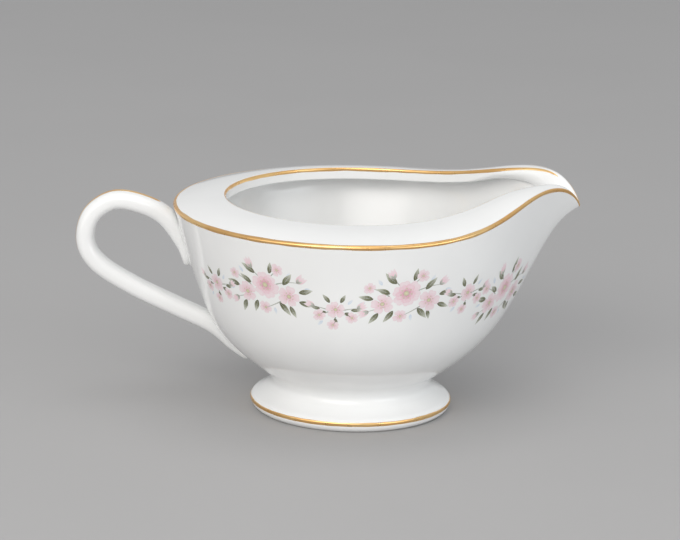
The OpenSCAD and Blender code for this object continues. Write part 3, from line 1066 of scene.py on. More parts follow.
@dataclass
class Foot:
    """The turned, hollow foot, the slip that joins it to the bowl and the gold round its edge.

    The edge's and the cove's places (edge_under, edge_over, cove_up) are heights from edge_h. The
    hollow's two places are distances in and heights. The gold covers line_wall of the wall's part of
    its width, and the bead from one share of it (line_bead) to another.
    """

    shape: JugShape
    foot_h: float
    foot_r: float
    steps: int = 288
    base_r: float = 30.0
    base_w: float = 3.4
    base_round: float = 0.4
    wall_from: float = 0.5
    wall_rows: int = 9
    swell: float = 3.0
    edge_h: float = 3.3
    edge_in: float = 0.15
    edge_under: float = 0.4
    edge_over: float = 0.7
    edge_rows: int = 14
    cove_in: float = 0.7
    cove_up: float = 0.95
    cove_r: float = 17.0
    cove_rows: int = 40
    edge_end: int = 6
    seat_w: float = 5.4
    hollow_low: tuple[float, float] = (0.6, 2.6)
    hollow_high: tuple[float, float] = (3.0, 6.6)
    hollow_round: float = 0.6
    fillet_cove_rows: int = 80
    fillet_from: int = 36
    fillet_up: float = 5.0
    fillet_rows: int = 27
    ease_up: float = 1.4
    ease_rows: int = 8
    ease_depth: float = 0.12
    # A darker tint at the waist: partly pooled glaze, partly painted shade in the crease.
    pool_and_shade_depth: float = 0.12
    pool_and_shade_h: float = 1.6
    bare_h: float = 0.35
    bare_over: float = 0.3
    line_w: float = 1.05
    line_wall: float = 0.5
    line_bead: tuple[float, float] = (0.05, 0.32)
    line_cols: int = 5
    line_steps: int = 480

    @classmethod
    def from_frame(cls, shape: JugShape) -> Foot:
        """Takes the foot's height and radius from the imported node."""
        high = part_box("pedestal_foot")[1]
        return cls(shape, foot_h=round(high.z / MM, 1), foot_r=round(high.y / MM, 1))

    def cove(self, count: int) -> Array:
        """The hollow sweep from the foot's edge up to the waist: an arc of a circle outside it.

        Args:
            count: Points along the arc.

        Returns:
            Points, (count, 2).
        """
        low = np.array([self.foot_r - self.cove_in, self.edge_h + self.cove_up])
        chord = np.array([self.shape.neck_r, self.foot_h]) - low
        half = np.linalg.norm(chord) / 2
        side = np.array([chord[1], -chord[0]]) / (2 * half)
        centre = low + chord / 2 + side * math.sqrt(self.cove_r**2 - half**2)
        ends = [low - centre, low + chord - centre]
        turns = np.unwrap([math.atan2(e[1], e[0]) for e in ends])
        return centre + self.cove_r * spokes(np.linspace(turns[0], turns[1], count))

    def wall(self, z: Array) -> Array:
        """The wall between the base and the edge, which swells out and is upright at the edge, (n, 2)."""
        out = 1.0 - (1.0 - z / self.edge_h) ** self.swell
        return np.stack([self.base_r + (self.foot_r - self.edge_in - self.base_r) * out, z], axis=-1)

    def edge(self, x: Array) -> Array:
        """The foot's edge: a quadratic curve round its bead.

        Args:
            x: Places from the wall (0) to the cove (1), (n,).

        Returns:
            Points, (n, 2).
        """
        start = self.wall(np.array([self.edge_h - self.edge_under]))
        corner = np.array([self.foot_r - self.edge_in, self.edge_h + self.edge_over])
        return quadratic(start, corner, self.cove(self.cove_rows)[self.edge_end], x[:, None])

    def profile(self) -> Array:
        """The foot's closed section: base ring, wall, bead, cove, seat and hollow.

        Returns:
            Points, (m, 2).
        """
        waist_r, base_in = self.shape.neck_r, self.base_r - self.base_w
        wall = self.wall(np.linspace(self.wall_from, self.edge_h - self.edge_under, self.wall_rows))
        (low_in, low_h), (high_in, high_h) = self.hollow_low, self.hollow_high
        corners = np.array([[base_in, 0.0], [self.base_r, 0.0], wall[0], [base_in - low_in, low_h]])
        rounds = np.array([self.hollow_round, self.base_round, 0.0, self.hollow_round])
        low = soft_outline(corners, rounds)
        hollow = np.array([[waist_r - self.seat_w, self.foot_h], [waist_r - high_in, high_h]])
        edge = self.edge(np.linspace(0.0, 1.0, self.edge_rows))
        cove = self.cove(self.cove_rows)[self.edge_end + 1:]
        base, hollow_foot = low[: 2 * CORNER_ROWS], low[-CORNER_ROWS:]
        return np.concatenate([base, wall[:-1], edge, cove, hollow, hollow_foot])

    def joint(self) -> Array:
        """The slip's closed section: a hollow fillet from the cove to the belly, sunk into both.

        Returns:
            Points, (m, 2).
        """
        s, cove = self.shape, self.cove(self.fillet_cove_rows)
        arc = np.linspace(self.fillet_up, self.fillet_up + self.ease_up, self.ease_rows + 1)
        belly = s.belly(s.belly_t_at(arc))
        first = len(cove) - self.fillet_from
        low, high = cove[first], belly[0]
        rise, above = cove[first + 1] - low, belly[1] - high
        reach = np.linalg.solve(np.stack([rise, above], axis=1), high - low)[0]
        face = bend(low[None], (low + reach * rise)[None], high[None], self.fillet_rows)[:, 0]

        def sunk(points: Array, depth: Array) -> Array:
            """Points of a section moved into the clay."""
            along = unit(np.gradient(points, axis=0))
            return points + depth[:, None] * np.stack([-along[:, 1], along[:, 0]], axis=-1)

        ease = self.ease_depth * np.linspace(0.0, 1.0, self.ease_rows + 1)[1:] ** 2
        inner_r = s.neck_r - self.seat_w
        return np.concatenate([
            sunk(cove[first - self.ease_rows : first], ease[::-1]),
            face,
            sunk(belly[1:], ease),
            [[inner_r, s.neck_h], [inner_r, self.foot_h]],
        ])

    def ring(self, section: Array, **fields: Array) -> Surface:
        """Turns a closed section into a ring.

        Args:
            section: The section, (m, 2).
            fields: Values along the section, by name, (m,).

        Returns:
            The ring, with a darker tint, greatest in the crease at the waist, as a field of its own:
            partly pooled glaze, partly painted shade.
        """
        # Painted shade with pooled glaze: darker towards the crease at the waist.
        pool_and_shade = self.pool_and_shade_depth * np.exp(-np.abs(self.foot_h - section[:, 1]) / self.pool_and_shade_h)
        fields = {"pool_and_shade": pool_and_shade, **fields}
        angle = np.linspace(0.0, 360.0, self.steps, endpoint=False)
        points = turned(np.broadcast_to(section, (self.steps, *section.shape)), angle[:, None])
        spread = {name: np.broadcast_to(values, points.shape[:2]) for name, values in fields.items()}
        return Surface(points, wrap_rows=True, wrap_cols=True, fields=spread)

    def build(self, glaze: Glaze, slip: Glaze) -> None:
        """Makes the foot, bare where it stands, and its joint.

        Args:
            glaze: The foot's finish.
            slip: The joint's finish.
        """
        section = self.profile()
        bare = smooth_step((self.bare_h - section[:, 1]) / self.bare_over)
        place("porcelain_foot", self.ring(section, bare=bare), glaze, Slot.PORCELAIN, "pedestal_foot")
        place("foot_joint", self.ring(self.joint()), slip, Slot.SLIP, "foot_lute")

    def gild(self, brush: Brush) -> None:
        """Paints the line round the foot's edge, from the wall on to the bead.

        Args:
            brush: The brush that it is painted with.
        """
        angle = np.linspace(0.0, 360.0, self.line_steps, endpoint=False)
        up = np.linspace(0.0, self.line_wall, self.line_cols) * (self.line_w - self.edge_under)
        wall = self.wall((self.edge_h - self.line_w) + up)
        section = np.concatenate([wall, self.edge(np.linspace(*self.line_bead, self.line_cols))])
        middle = section.mean(axis=0)
        width = brush.widths(angle, seed=3)[:, None, None]
        strip = turned(middle + (section - middle) * width, angle[:, None])
        brush.paint("foot", strip, grid_normals(strip), closed=True)


@dataclass
class Handle:
    """The loop handle, a rounded strap with a tongue at each end, the slip under them and its gold.

    The middle line's places round the loop (loop_start, arm_start) are distances out and up from the
    loop's centre. Places along the line (..._spans) are counted in spans between its points.
    """

    shape: JugShape
    loop_r: float = 11.9
    loop_out: float = 15.8
    loop_drop: float = 11.9
    loop_start: tuple[float, float] = (13.5, 6.5)
    loop_turn: float = 64.0
    loop_step: float = 41.5
    loop_points: int = 5
    arm_start: tuple[float, float] = (3.6, -16.2)
    arm_slope: float = 25.1
    arm_points: tuple[float, ...] = (0.0, 15.0, 28.5)
    handle_t: float = 6.0
    handle_w: float = 8.2
    tongue_t: float = 3.4
    tongue_w: float = 7.0
    upper_tip_h: float = 44.9
    upper_seat: float = 7.5
    upper_proud: float = 1.0
    lower_tip_h: float = 15.3
    lower_seat: float = 4.5
    lower_proud: tuple[float, float] = (0.7, 0.9)
    seat_gap: float = 0.2
    seat_blend: float = 0.3
    seat_fade: float = 3.0
    strap_power: float = 2.5
    tongue_spans: float = 2.0
    tip_t_spans: float = 0.22
    tip_w_spans: float = 0.5
    tip_crowding: float = 0.45
    steps: int = 300
    sides: int = 56
    # A darker tint where the handle lies on the wall: partly pooled glaze, partly painted shade.
    pool_and_shade_depth: float = 0.3
    pool_and_shade_w: float = 0.9
    pad_under: float = 0.4
    pad_below_rim: float = 2.6
    lower_pad_h: float = 16.8
    upper_pad_rim: float = 2.6
    lower_pad_rim: float = 3.38
    pad_rows: int = 96
    pad_cols: int = 41
    pad_back: float = 0.3
    pad_edge: float = 0.03
    pad_ends: tuple[float, float] = (0.004, 0.996)
    pad_narrow: float = 0.35
    pad_fade: float = 0.5
    # Share of darker tint at the pads' edges: pooled glaze and painted shade.
    pad_pool_and_shade: float = 0.25
    fillet_h: float = 1.7
    line_spans: tuple[float, float] = (2.4, 10.4)
    line_turn: float = 16.0
    line_share: float = 0.72
    line_taper: tuple[float, float] = (0.02, 0.02)
    line_rows: int = 320
    line_cols: int = 9
    back_half: int = 32

    def on_wall(self, z: float, proud: float) -> list[float]:
        """A point [x, z] of the middle line, proud of the wall behind the bowl."""
        return [-(float(self.shape.belly_r(z)) + proud), z]

    def line(self) -> Array:
        """The points of the middle line: up the wall, round the loop, down the arm and the belly.

        Returns:
            Points [x, z], (n, 2).
        """
        s, slope = self.shape, math.radians(self.arm_slope)
        centre = np.array([-(s.rim_r + self.loop_out), s.rim_h - self.loop_drop])
        turns = np.radians(self.loop_turn + self.loop_step * np.arange(self.loop_points))
        arm = np.array(self.arm_points)[:, None] * [math.cos(slope), -math.sin(slope)]
        seat_proud, tip_proud = self.lower_proud
        return np.concatenate([
            [self.on_wall(self.upper_tip_h, self.upper_proud)],
            [self.on_wall(self.upper_tip_h + self.upper_seat, self.upper_proud)],
            [centre + self.loop_start],
            centre + self.loop_r * spokes(turns),
            centre + self.arm_start + arm,
            [self.on_wall(self.lower_tip_h + self.lower_seat, seat_proud)],
            [self.on_wall(self.lower_tip_h, tip_proud)],
        ])

    def path(self, s: Array) -> Array:
        """The smooth curve through the line's points (a Catmull-Rom curve).

        Args:
            s: Places along the line, counted in spans between its points.

        Returns:
            Points [x, z], (n, 2).
        """
        p = self.line()
        p = np.concatenate([[2 * p[0] - p[1]], p, [2 * p[-1] - p[-2]]])
        i = np.clip(np.floor(s).astype(int), 0, len(p) - 4)
        t = (s - i)[:, None]
        a, b, c, d = p[i], p[i + 1], p[i + 2], p[i + 3]
        return b + t * ((c - a) + t * ((2 * a - 5 * b + 4 * c - d) + t * (3 * b - a - 3 * c + d))) / 2

    def spans(self) -> int:
        """Number of spans along the line."""
        return len(self.line()) - 1

    def strap(self, s: Array, turn: Array) -> Array:
        """The strap's skin: a rounded square section that follows the line and lies on the wall.

        The section is [half_t |cos|^p, half_w |sin|^p] with p = 2 / strap_power. Both halves grow from
        the tongue's to the handle's size, and close in a quarter of an ellipse at the tips.

        Args:
            s: Places along the line, (n,).
            turn: Turns round the section from its outer side in degrees, (m,).

        Returns:
            Points, (n, m, 3).
        """
        spans, nudge = self.spans(), 0.01
        step = unit(self.path(np.minimum(s + nudge, spans)) - self.path(np.maximum(s - nudge, 0.0)))
        out = np.stack([step[:, 1], -step[:, 0]], axis=-1)[:, None]
        from_tip = np.minimum(s, spans - s)
        ends = np.array([self.tip_t_spans, self.tip_w_spans])
        close_t, close_w = np.sqrt(1 - (1 - np.clip(from_tip / ends[:, None], 0.0, 1.0)) ** 2)
        grown = smooth_step(from_tip / self.tongue_spans)
        half_t = (self.tongue_t + (self.handle_t - self.tongue_t) * grown) * close_t / 2
        half_w = (self.tongue_w + (self.handle_w - self.tongue_w) * grown) * close_w / 2
        c, d = spokes(np.radians(turn)).T
        c, d = (np.sign(x) * np.abs(x) ** (2 / self.strap_power) for x in (c, d))
        xz = self.path(s)[:, None] + out * (half_t[:, None] * c)[..., None]
        return self.seated(np.stack([xz[..., 0], -half_w[:, None] * d, xz[..., 1]], axis=-1))

    def seated(self, points: Array) -> Array:
        """Pushes points that lie in the wall out on to it, with a soft change at its surface.

        Args:
            points: Points, (..., 3).

        Returns:
            The points, moved out from the jug's axis where they lie under the rim.
        """
        r, blend = np.hypot(points[..., 0], points[..., 1]), self.seat_blend
        seat = self.shape.belly_r(points[..., 2]) + self.seat_gap
        soft = seat + blend * np.logaddexp(0.0, (r - seat) / blend)
        below = smooth_step((self.shape.rim_h - points[..., 2]) / self.seat_fade)
        share = 1.0 + below * (soft / r - 1.0)
        return points * np.stack([share, share, np.ones_like(share)], axis=-1)

    def pad(self, low: float, high: float, width: float) -> Surface:
        """A pad of slip on the wall: a round-ended film, thickest under the tongue, thin at its top.

        With u along it and y across, its half-width is the half of width by sqrt(1 - |2u - 1|^3), and
        its height is fillet_h (1 - y^2)^1.5, less where it narrows and over the last pad_fade of it.

        Args:
            low: Height of its lower end.
            high: Height of its upper end.
            width: Its greatest width.

        Returns:
            The pad, closed, with a darker tint along its edges as a field: partly pooled glaze, partly
            painted shade.
        """
        u = np.linspace(*self.pad_ends, self.pad_rows)[:, None]
        y = np.linspace(1.0, -1.0, self.pad_cols)[None]
        z = low + (high - low) * u
        half = width / 2 * np.sqrt(1 - np.abs(2 * u - 1) ** 3)
        r = self.shape.belly_r(z)
        side = 180.0 + np.degrees(np.arcsin(half * y / r))
        narrow = np.minimum(1.0, half / (self.pad_narrow * width))
        thin = narrow * smooth_step((1.0 - u) / self.pad_fade)
        swell = self.fillet_h * (1 - y**2) ** 1.5 * thin - self.pad_edge

        def layer(height: Array) -> Array:
            """The pad's skin at a height over the wall."""
            return turned(np.stack(np.broadcast_arrays(r + height, z), axis=-1), side)

        back = layer(np.full_like(swell, -self.pad_back))
        points = np.concatenate([layer(swell), back[:, ::-1]], axis=1)
        # Painted shade with pooled glaze: darker towards the pad's edges.
        pool_and_shade = np.broadcast_to(self.pad_pool_and_shade * np.abs(np.append(y, y)), points.shape[:2])
        return Surface(points, wrap_cols=True, poles=tips(points), fields={"pool_and_shade": pool_and_shade})

    def surface(self) -> Surface:
        """The handle as one closed skin, with its rows closer together at the tips.

        Returns:
            The skin, with a darker tint beside the wall as a field: partly pooled glaze, partly painted
            shade where the handle meets the wall.
        """
        spans = self.spans()
        even = np.linspace(0.0, spans, self.steps + 2)[1:-1]
        crowded = spans * (0.5 - 0.5 * np.cos(np.pi * even / spans))
        s = (1 - self.tip_crowding) * even + self.tip_crowding * crowded
        points = self.strap(s, np.arange(self.sides) * 360.0 / self.sides)
        off = np.hypot(points[..., 0], points[..., 1]) - self.shape.belly_r(points[..., 2])
        # Painted shade with pooled glaze: darker near the wall.
        pool_and_shade = self.pool_and_shade_depth * np.exp(-np.maximum(off, 0.0) / self.pool_and_shade_w)
        return Surface(points, wrap_cols=True, poles=tips(points), fields={"pool_and_shade": pool_and_shade})

    def build(self, glaze: Glaze, slip: Glaze) -> None:
        """Makes the handle and its two pads.

        Args:
            glaze: The handle's finish.
            slip: The pads' finish.
        """
        place("porcelain_handle", self.surface(), glaze, Slot.PORCELAIN, "handle")
        top, tip = self.shape.rim_h - self.pad_below_rim, self.upper_tip_h - self.pad_under
        upper = self.pad(tip, top, self.handle_w + self.upper_pad_rim)
        place("upper_handle_joint", upper, slip, Slot.SLIP, "handle_upper_lute")
        top, tip = self.lower_tip_h + self.lower_pad_h, self.lower_tip_h - self.pad_under
        lower = self.pad(tip, top, self.tongue_w + self.lower_pad_rim)
        place("lower_handle_joint", lower, slip, Slot.SLIP, "handle_lower_lute")

    def gild(self, brush: Brush) -> None:
        """Paints the line along the handle's back, with ends drawn out as a brush leaves them.

        The strap's back is worked out on a fine grid. The line is read from it between two columns, at
        places that follow the line's width.

        Args:
            brush: The brush that it is painted with.
        """
        s, mid = np.linspace(*self.line_spans, self.line_rows), self.back_half
        u = (s - s[0]) / (s[-1] - s[0])
        width = brush.widths(360.0 * u, seed=5) * brush.taper(u, *self.line_taper)
        back = self.strap(s, np.linspace(-self.line_turn, self.line_turn, 2 * mid + 1))
        at = mid + mid * np.linspace(-1.0, 1.0, self.line_cols) * self.line_share * width[:, None]
        low = np.clip(np.floor(at).astype(int), 0, 2 * mid - 1)
        rows, share = np.arange(len(s))[:, None], (at - low)[..., None]
        strip = back[rows, low] * (1 - share) + back[rows, low + 1] * share
        brush.paint("handle", strip, grid_normals(back)[rows, low], closed=False)


@dataclass
class RimGold:
    """The gold lines round the bowl's rim and inside its mouth."""

    bowl: Bowl
    rim_w: float = 1.25
    shoulder_w: float = 1.2
    tip_thin: Hill = Hill(0.5, 8.0, 2.0)
    flank_thin: Hill = Hill(0.45, 40.0, 2.0)
    mouth_w: float = 1.3
    mouth_over: float = 0.25
    mouth_end: float = 7.0
    mouth_taper: tuple[float, float] = (0.012, 0.03)
    mouth_rows: int = 420
    cols: int = 11

    def rim(self, brush: Brush) -> Array:
        """The line over the rim's edge, from the wall on to the shoulder, thinner at the spout.

        Args:
            brush: The brush that it is painted with.

        Returns:
            Points, (along, across, 3).
        """
        s, angle = self.bowl.shape, self.bowl.angles()
        width = brush.widths(angle, seed=1) * (1 - self.tip_thin.at(angle))
        top_w = self.shoulder_w * (1 - self.flank_thin.at(angle))
        x = np.linspace(-1.0, 1.0, self.cols)[:, None]
        x = np.where(x < 0, x * self.rim_w, x * top_w) * width
        cut = self.bowl.rim_cut(angle)
        low, high = self.bowl.rim_bend(angle, 2)
        u = np.clip((x + cut) / (2 * cut), 0.0, 1.0)[..., None]
        over = quadratic(low, s.edge(angle), high, u)
        below = s.wall(angle, s.rim_t(angle, np.maximum(-x, cut)))
        above = s.shoulder(angle, np.maximum(x, cut) / s.shoulder_w(angle))
        rz = np.where((x < -cut)[..., None], below, np.where((x > cut)[..., None], above, over))
        return turned(rz, angle).transpose(1, 0, 2)

    def mouth(self, brush: Brush) -> Array:
        """The line on the lip's face, from one flank of the spout round the back to the other.

        Args:
            brush: The brush that it is painted with.

        Returns:
            Points, (along, across, 3).
        """
        s, cut = self.bowl.shape, self.bowl.mouth_round
        angle = np.linspace(self.mouth_end, 360.0 - self.mouth_end, self.mouth_rows)
        angle = np.where(angle > 180.0, angle - 360.0, angle)
        taper = brush.taper(np.linspace(0.0, 1.0, len(angle)), *self.mouth_taper)
        width = brush.widths(angle, seed=2) * taper
        x = np.linspace(-self.mouth_over, 1.0, self.cols)[:, None] * self.mouth_w * width
        low, high = self.bowl.mouth_bend(angle, 2)
        u = np.clip((x + cut) / (2 * cut), 0.0, 1.0)[..., None]
        mouth = s.mouth(angle)
        face = mouth + (s.lip_foot(angle) - mouth) * (np.maximum(x, cut) / s.lip_drop)[..., None]
        rz = np.where((x > cut)[..., None], face, quadratic(low, mouth, high, u))
        return turned(rz, angle).transpose(1, 0, 2)

    def build(self, brush: Brush) -> None:
        """Paints both lines.

        Args:
            brush: The brush that they are painted with.
        """
        rim, mouth = self.rim(brush), self.mouth(brush)
        brush.paint("rim", rim, grid_normals(rim, closed=True), closed=True)
        brush.paint("mouth", mouth, grid_normals(mouth), closed=False)


@dataclass(frozen=True)
class Ink(Finish):
    """A printed colour fired under the glaze.

    Attributes:
        name: Name of the material.
        heart: Colour at a mark's heart or root.
        middle: Colour half way.
        tip: Colour at its tip.
        bare: Colour of the porcelain where the print is thin.
        veins: How strongly veins along the mark thin the print.
        vein_scale: Scale of the veins.
        vein_stretch: Their number along and across a mark.
        grain: Strength of the print where its grain is thinnest.
        grain_scale: Scale of the grain.
    """

    heart: Colour
    middle: Colour
    tip: Colour
    bare: Colour = Glaze.tint
    veins: float = 0.35
    vein_scale: float = 2.2
    vein_stretch: tuple[float, float, float] = (1.2, 9.0, 1.0)
    grain: float = 0.82
    grain_scale: float = 2400.0

    def lay_out(self, n: Nodes, shader: bpy.types.Node) -> None:
        """Lays out a wash of three colours, veined and grained, under the glaze.

        Args:
            n: The material's nodes.
            shader: The shader that they feed.
        """
        tone = n.field("tone")
        inner = n.mix(n.span(tone, 0.0, 0.5, 0.0, 1.0), self.heart, self.middle)
        wash = n.mix(n.span(tone, 0.5, 1.0, 0.0, 1.0), inner, self.tip)
        on_mark = n.add("TexCoord").outputs["UV"]
        along = n.add("Mapping", Vector=on_mark, Scale=self.vein_stretch).outputs["Vector"]
        vein = n.span(n.noise(along, self.vein_scale), 0.35, 0.65, 1.0 - self.veins, 1.0)
        grain = n.span(n.noise(n.where(), self.grain_scale, 1.0), *NOISE_SPAN, self.grain, 1.0)
        strength = n.math("MULTIPLY", n.math("MULTIPLY", n.field("ink"), vein), grain)
        glaze = GlazeFilm().add(n, Tint=n.mix(strength, self.bare, wash))
        n.feed(shader, Base_Color=glaze["Color"], Roughness=glaze["Roughness"], IOR=GLAZE_IOR)


@dataclass(frozen=True)
class Spray:
    """A group of printed flowers, laid out flat round its middle in millimetres and degrees.

    Attributes:
        roses: Full flowers with three rings of petals, as (across, up, radius, turn).
        blossoms: Open flowers with one ring of petals, as (across, up, radius, turn).
        buds: Closed flowers, as (across, up, length, heading).
        leaves: Leaves, as (across, up, length, heading).
        touches: Pale strokes between the leaves, as (across, up, length, heading).
        twigs: Stalks, as the three points of a curve (x, y, x, y, x, y).
    """

    roses: Rows
    blossoms: Rows
    buds: Rows
    leaves: Rows
    touches: Rows
    twigs: Rows


LARGE_SPRAY = Spray(
    roses=((0.4, 0.8, 4.3, 15.0),),
    blossoms=(
        (-6.5, -1.9, 3.4, 40.0), (6.7, -2.3, 3.3, 5.0), (-3.9, 5.9, 2.0, 0.0), (10.7, 2.7, 1.8, 20.0),
        (1.3, -6.4, 2.1, 50.0),
    ),
    buds=((-9.3, 2.6, 3.4, 140.0), (4.2, 5.4, 3.4, 66.0), (10.2, -4.6, 3.2, -28.0)),
    leaves=(
        (-3.4, -4.2, 4.6, 228.0), (-9.3, -3.3, 4.3, 196.0), (-9.6, -0.4, 3.8, 168.0),
        (3.6, -4.6, 4.4, -64.0), (9.4, -0.8, 4.2, 12.0), (-1.4, 4.6, 3.8, 108.0), (3.4, 4.0, 4.6, 36.0),
        (-5.2, 1.6, 4.4, 128.0), (7.6, -5.2, 3.8, -62.0), (-6.4, -5.0, 3.4, 250.0), (5.0, 0.8, 4.0, 28.0),
    ),
    touches=(
        (-6.6, 3.4, 2.6, 112.0), (7.4, 3.6, 2.4, 58.0), (-1.6, -6.0, 2.4, 262.0),
        (11.4, -1.8, 2.2, -20.0), (-11.4, 1.0, 2.2, 186.0),
    ),
    twigs=(
        (-2.0, 1.0, -6.0, 2.8, -9.3, 2.6), (2.0, 3.0, 3.6, 4.2, 4.2, 5.4),
        (5.0, -3.0, 8.2, -3.8, 10.2, -4.6), (-5.0, -3.0, -1.0, -5.6, 1.3, -6.4),
        (5.0, 0.0, 8.5, 2.4, 10.7, 2.7), (-1.0, 3.0, -2.8, 4.8, -3.9, 5.9),
    ),
)
SMALL_SPRIG = Spray(
    roses=(),
    blossoms=(
        (0.0, 0.4, 2.8, 10.0), (-4.4, -2.1, 1.8, 0.0), (4.5, -1.6, 1.9, 30.0), (0.8, -4.6, 1.7, 12.0),
    ),
    buds=((-5.8, 0.9, 2.9, 152.0), (5.8, 1.1, 2.9, 24.0)),
    leaves=(
        (-2.5, -0.6, 3.6, 202.0), (2.7, -0.4, 3.6, -24.0), (0.2, -2.4, 3.2, 262.0),
        (-1.4, 2.6, 3.2, 118.0), (1.6, 2.5, 3.0, 58.0), (-4.2, 0.3, 2.8, 176.0), (4.3, 0.5, 2.8, 4.0),
    ),
    touches=((-3.4, 2.2, 2.0, 130.0), (3.6, -3.4, 2.0, -50.0)),
    twigs=(
        (-1.0, 0.0, -4.0, 0.8, -5.8, 0.9), (1.0, 0.0, 4.0, 0.8, 5.8, 1.1),
        (0.0, -2.0, 0.6, -3.4, 0.8, -4.6), (-2.0, -0.6, -3.4, -1.8, -4.4, -2.1),
        (2.0, -0.4, 3.4, -1.2, 4.5, -1.6),
    ),
)
# Columns of a placed mark's row, after its spray's angle, distance up the wall and side.
AT, SIZE, TURN = slice(3, 5), 5, 6


@dataclass
class Transfers:
    """The printed frieze of flowers round the wall, the same on both sides of the spout.

    A mark is a small grid laid flat in its spray, then carried on to the wall: its distance across
    goes round the bowl, its distance up goes along the belly's curve. Sprays are placed by their angle
    and height. Kinds of marks lie over one another in steps of layer, marks of one kind in finer steps.
    """

    shape: JugShape
    large_at: Rows = ((25.0, 44.5), (72.0, 49.5), (120.0, 50.0))
    small_at: Rows = ((48.0, 47.5), (96.0, 44.5), (144.0, 47.0))
    scale: float = 1.12
    lift: float = 0.02
    layer: float = 0.012
    petal_step: float = 0.0016
    blade_step: float = 0.0012
    cup_share: float = 0.55
    heart_share: float = 0.2
    stamen_ring: float = 0.36
    stamen_share: float = 0.055
    stamen_turn: float = 20.0
    stamen_count: int = 7
    pink: Ink = Ink("printed_pink", (0.66, 0.15, 0.27), (0.82, 0.36, 0.48), (0.84, 0.54, 0.62))
    olive: Ink = Ink(
        "printed_olive", (0.05, 0.047, 0.016), (0.12, 0.13, 0.05), (0.34, 0.36, 0.22), veins=0.3)
    hearts: Ink = Ink(
        "printed_hearts", (0.62, 0.64, 0.30), (0.52, 0.48, 0.18), (0.42, 0.20, 0.12), veins=0.2)
    blue: Ink = Ink("printed_blue", (0.36, 0.52, 0.74), (0.50, 0.63, 0.80), (0.66, 0.74, 0.82))

    def placed(self, kind: str) -> Array:
        """Every mark of a kind, in every spray on both sides.

        Args:
            kind: The spray's list to take.

        Returns:
            Rows of (angle of the spray, distance up to it, side, then the mark's own numbers).
        """
        found = []
        for spray, spots in ((LARGE_SPRAY, self.large_at), (SMALL_SPRIG, self.small_at)):
            marks = np.array(getattr(spray, kind), float)
            if not marks.size:
                continue
            lengths = 6 if kind == "twigs" else 3
            marks[:, :lengths] *= self.scale
            angle, height = np.array(spots).T
            arc, one = self.shape.belly_arc_at(height), np.ones(len(spots))
            sides = [np.stack([side * angle, arc, side * one], axis=-1) for side in (-1.0, 1.0)]
            at = np.repeat(np.concatenate(sides), len(marks), axis=0)
            found.append(np.hstack([at, np.tile(marks, (2 * len(spots), 1))]))
        return np.concatenate(found)

    def carried(self, marks: Array, flat: Array, height: float | Array) -> Array:
        """Carries flat grids on to the wall.

        Args:
            marks: The marks' rows, (n, ...).
            flat: Grids of (across, up) in the spray, (n, rows, columns, 2).
            height: Height over the wall, one for all or for each mark.

        Returns:
            Points, (n, rows, columns, 3).
        """
        angle, arc, side = (marks[:, i, None, None] for i in range(3))
        t = self.shape.belly_t_at(arc + flat[..., 1])
        around = angle + side * np.degrees(flat[..., 0] / self.shape.belly(t)[..., 0])
        over = np.broadcast_to(np.reshape(height, (-1, 1, 1)), t.shape)
        points = turned(self.shape.wall(around, t, -over), around)
        return np.where(side[..., None] > 0, points, points[:, :, ::-1])

    @staticmethod
    def grid(rows: int, cols: int) -> tuple[Array, Array]:
        """A mark's own grid: u along it from 0 to 1, w across it from -1 to 1, (1, rows, columns)."""
        u, w = np.meshgrid(np.linspace(0.0, 1.0, rows), np.linspace(-1.0, 1.0, cols), indexing="ij")
        return u[None], w[None]

    @staticmethod
    def aimed(at: Array, heading: Array, ahead: Array, aside: Array) -> Array:
        """Turns a mark's own coordinates to its heading and moves it to its place.

        Args:
            at: Places in the spray, (n, 2).
            heading: Headings in degrees from across, (n,).
            ahead: Distance along the mark, (n, rows, columns).
            aside: Distance to its left, of the same shape.

        Returns:
            Grids of (across, up), (n, rows, columns, 2).
        """
        c, s = (f(np.radians(heading))[:, None, None] for f in (np.cos, np.sin))
        flat = np.stack([ahead * c - aside * s, ahead * s + aside * c], axis=-1)
        return flat + at[:, None, None]

    @staticmethod
    def printed(points: Array, uv: tuple[Array, Array], tone: Array, ink: Array) -> Surface:
        """Puts a map and printed values on marks that lie on the wall.

        Args:
            points: The marks' points, (n, rows, columns, 3).
            uv: The map's two values.
            tone: Place between the ink's heart (0) and its tip (1).
            ink: Strength of the print.

        Returns:
            The marks.
        """
        u, w, tone, ink = (np.broadcast_to(values, points.shape[:3]) for values in (*uv, tone, ink))
        return Surface(points, fields={"tone": tone, "ink": ink}, uv=np.stack([u, w], axis=-1))

    def ring(self, flowers: Array, count: int, share: float, spread: float, ring: int) -> Surface:
        """One ring of petals on every flower: fans whose rounded ends have a shallow notch.

        With u out along a petal and w across it, the reach grows with u, less the cube of w at the
        sides, and less a narrow hill of w at the notch. The print is strongest at the heart and edges.

        Args:
            flowers: The flowers' rows.
            count: Petals in the ring.
            share: The ring's radius as a share of the flower's.
            spread: Half-angle of a petal in degrees.
            ring: Number of the ring, from the outside.

        Returns:
            The petals.
        """
        u, w = self.grid(8, 13)
        rows = np.repeat(flowers, count, axis=0)
        order = np.tile(np.arange(count), len(flowers))
        rng = np.random.default_rng(11 + ring)
        radius = rows[:, SIZE] * share * rng.uniform(0.92, 1.06, len(rows))
        notch = 0.09 * np.exp(-((w / 0.25) ** 2)) * u**3
        reach = radius[:, None, None] * (0.05 + 0.95 * u * (1 - 0.34 * np.abs(w) ** 3 - notch))
        turn = np.radians(spread * w)
        even = rows[:, TURN] + 360.0 * (order + 0.5 * ring) / count
        heading = even + rng.uniform(-5.0, 5.0, len(rows))
        flat = self.aimed(rows[:, AT], heading, reach * np.cos(turn), reach * np.sin(turn))
        height = self.lift + self.layer * (1 + ring) + self.petal_step * order
        tone = np.clip(0.25 + 0.75 * u - 0.3 * ring, 0.0, 1.0)
        ink = 0.42 + 0.4 * (1 - u) ** 1.5 + 0.28 * np.abs(w) ** 4 + 0.22 * u**6 + 0.12 * ring
        return self.printed(self.carried(rows, flat, height), (u + order[:, None, None], w), tone, ink)

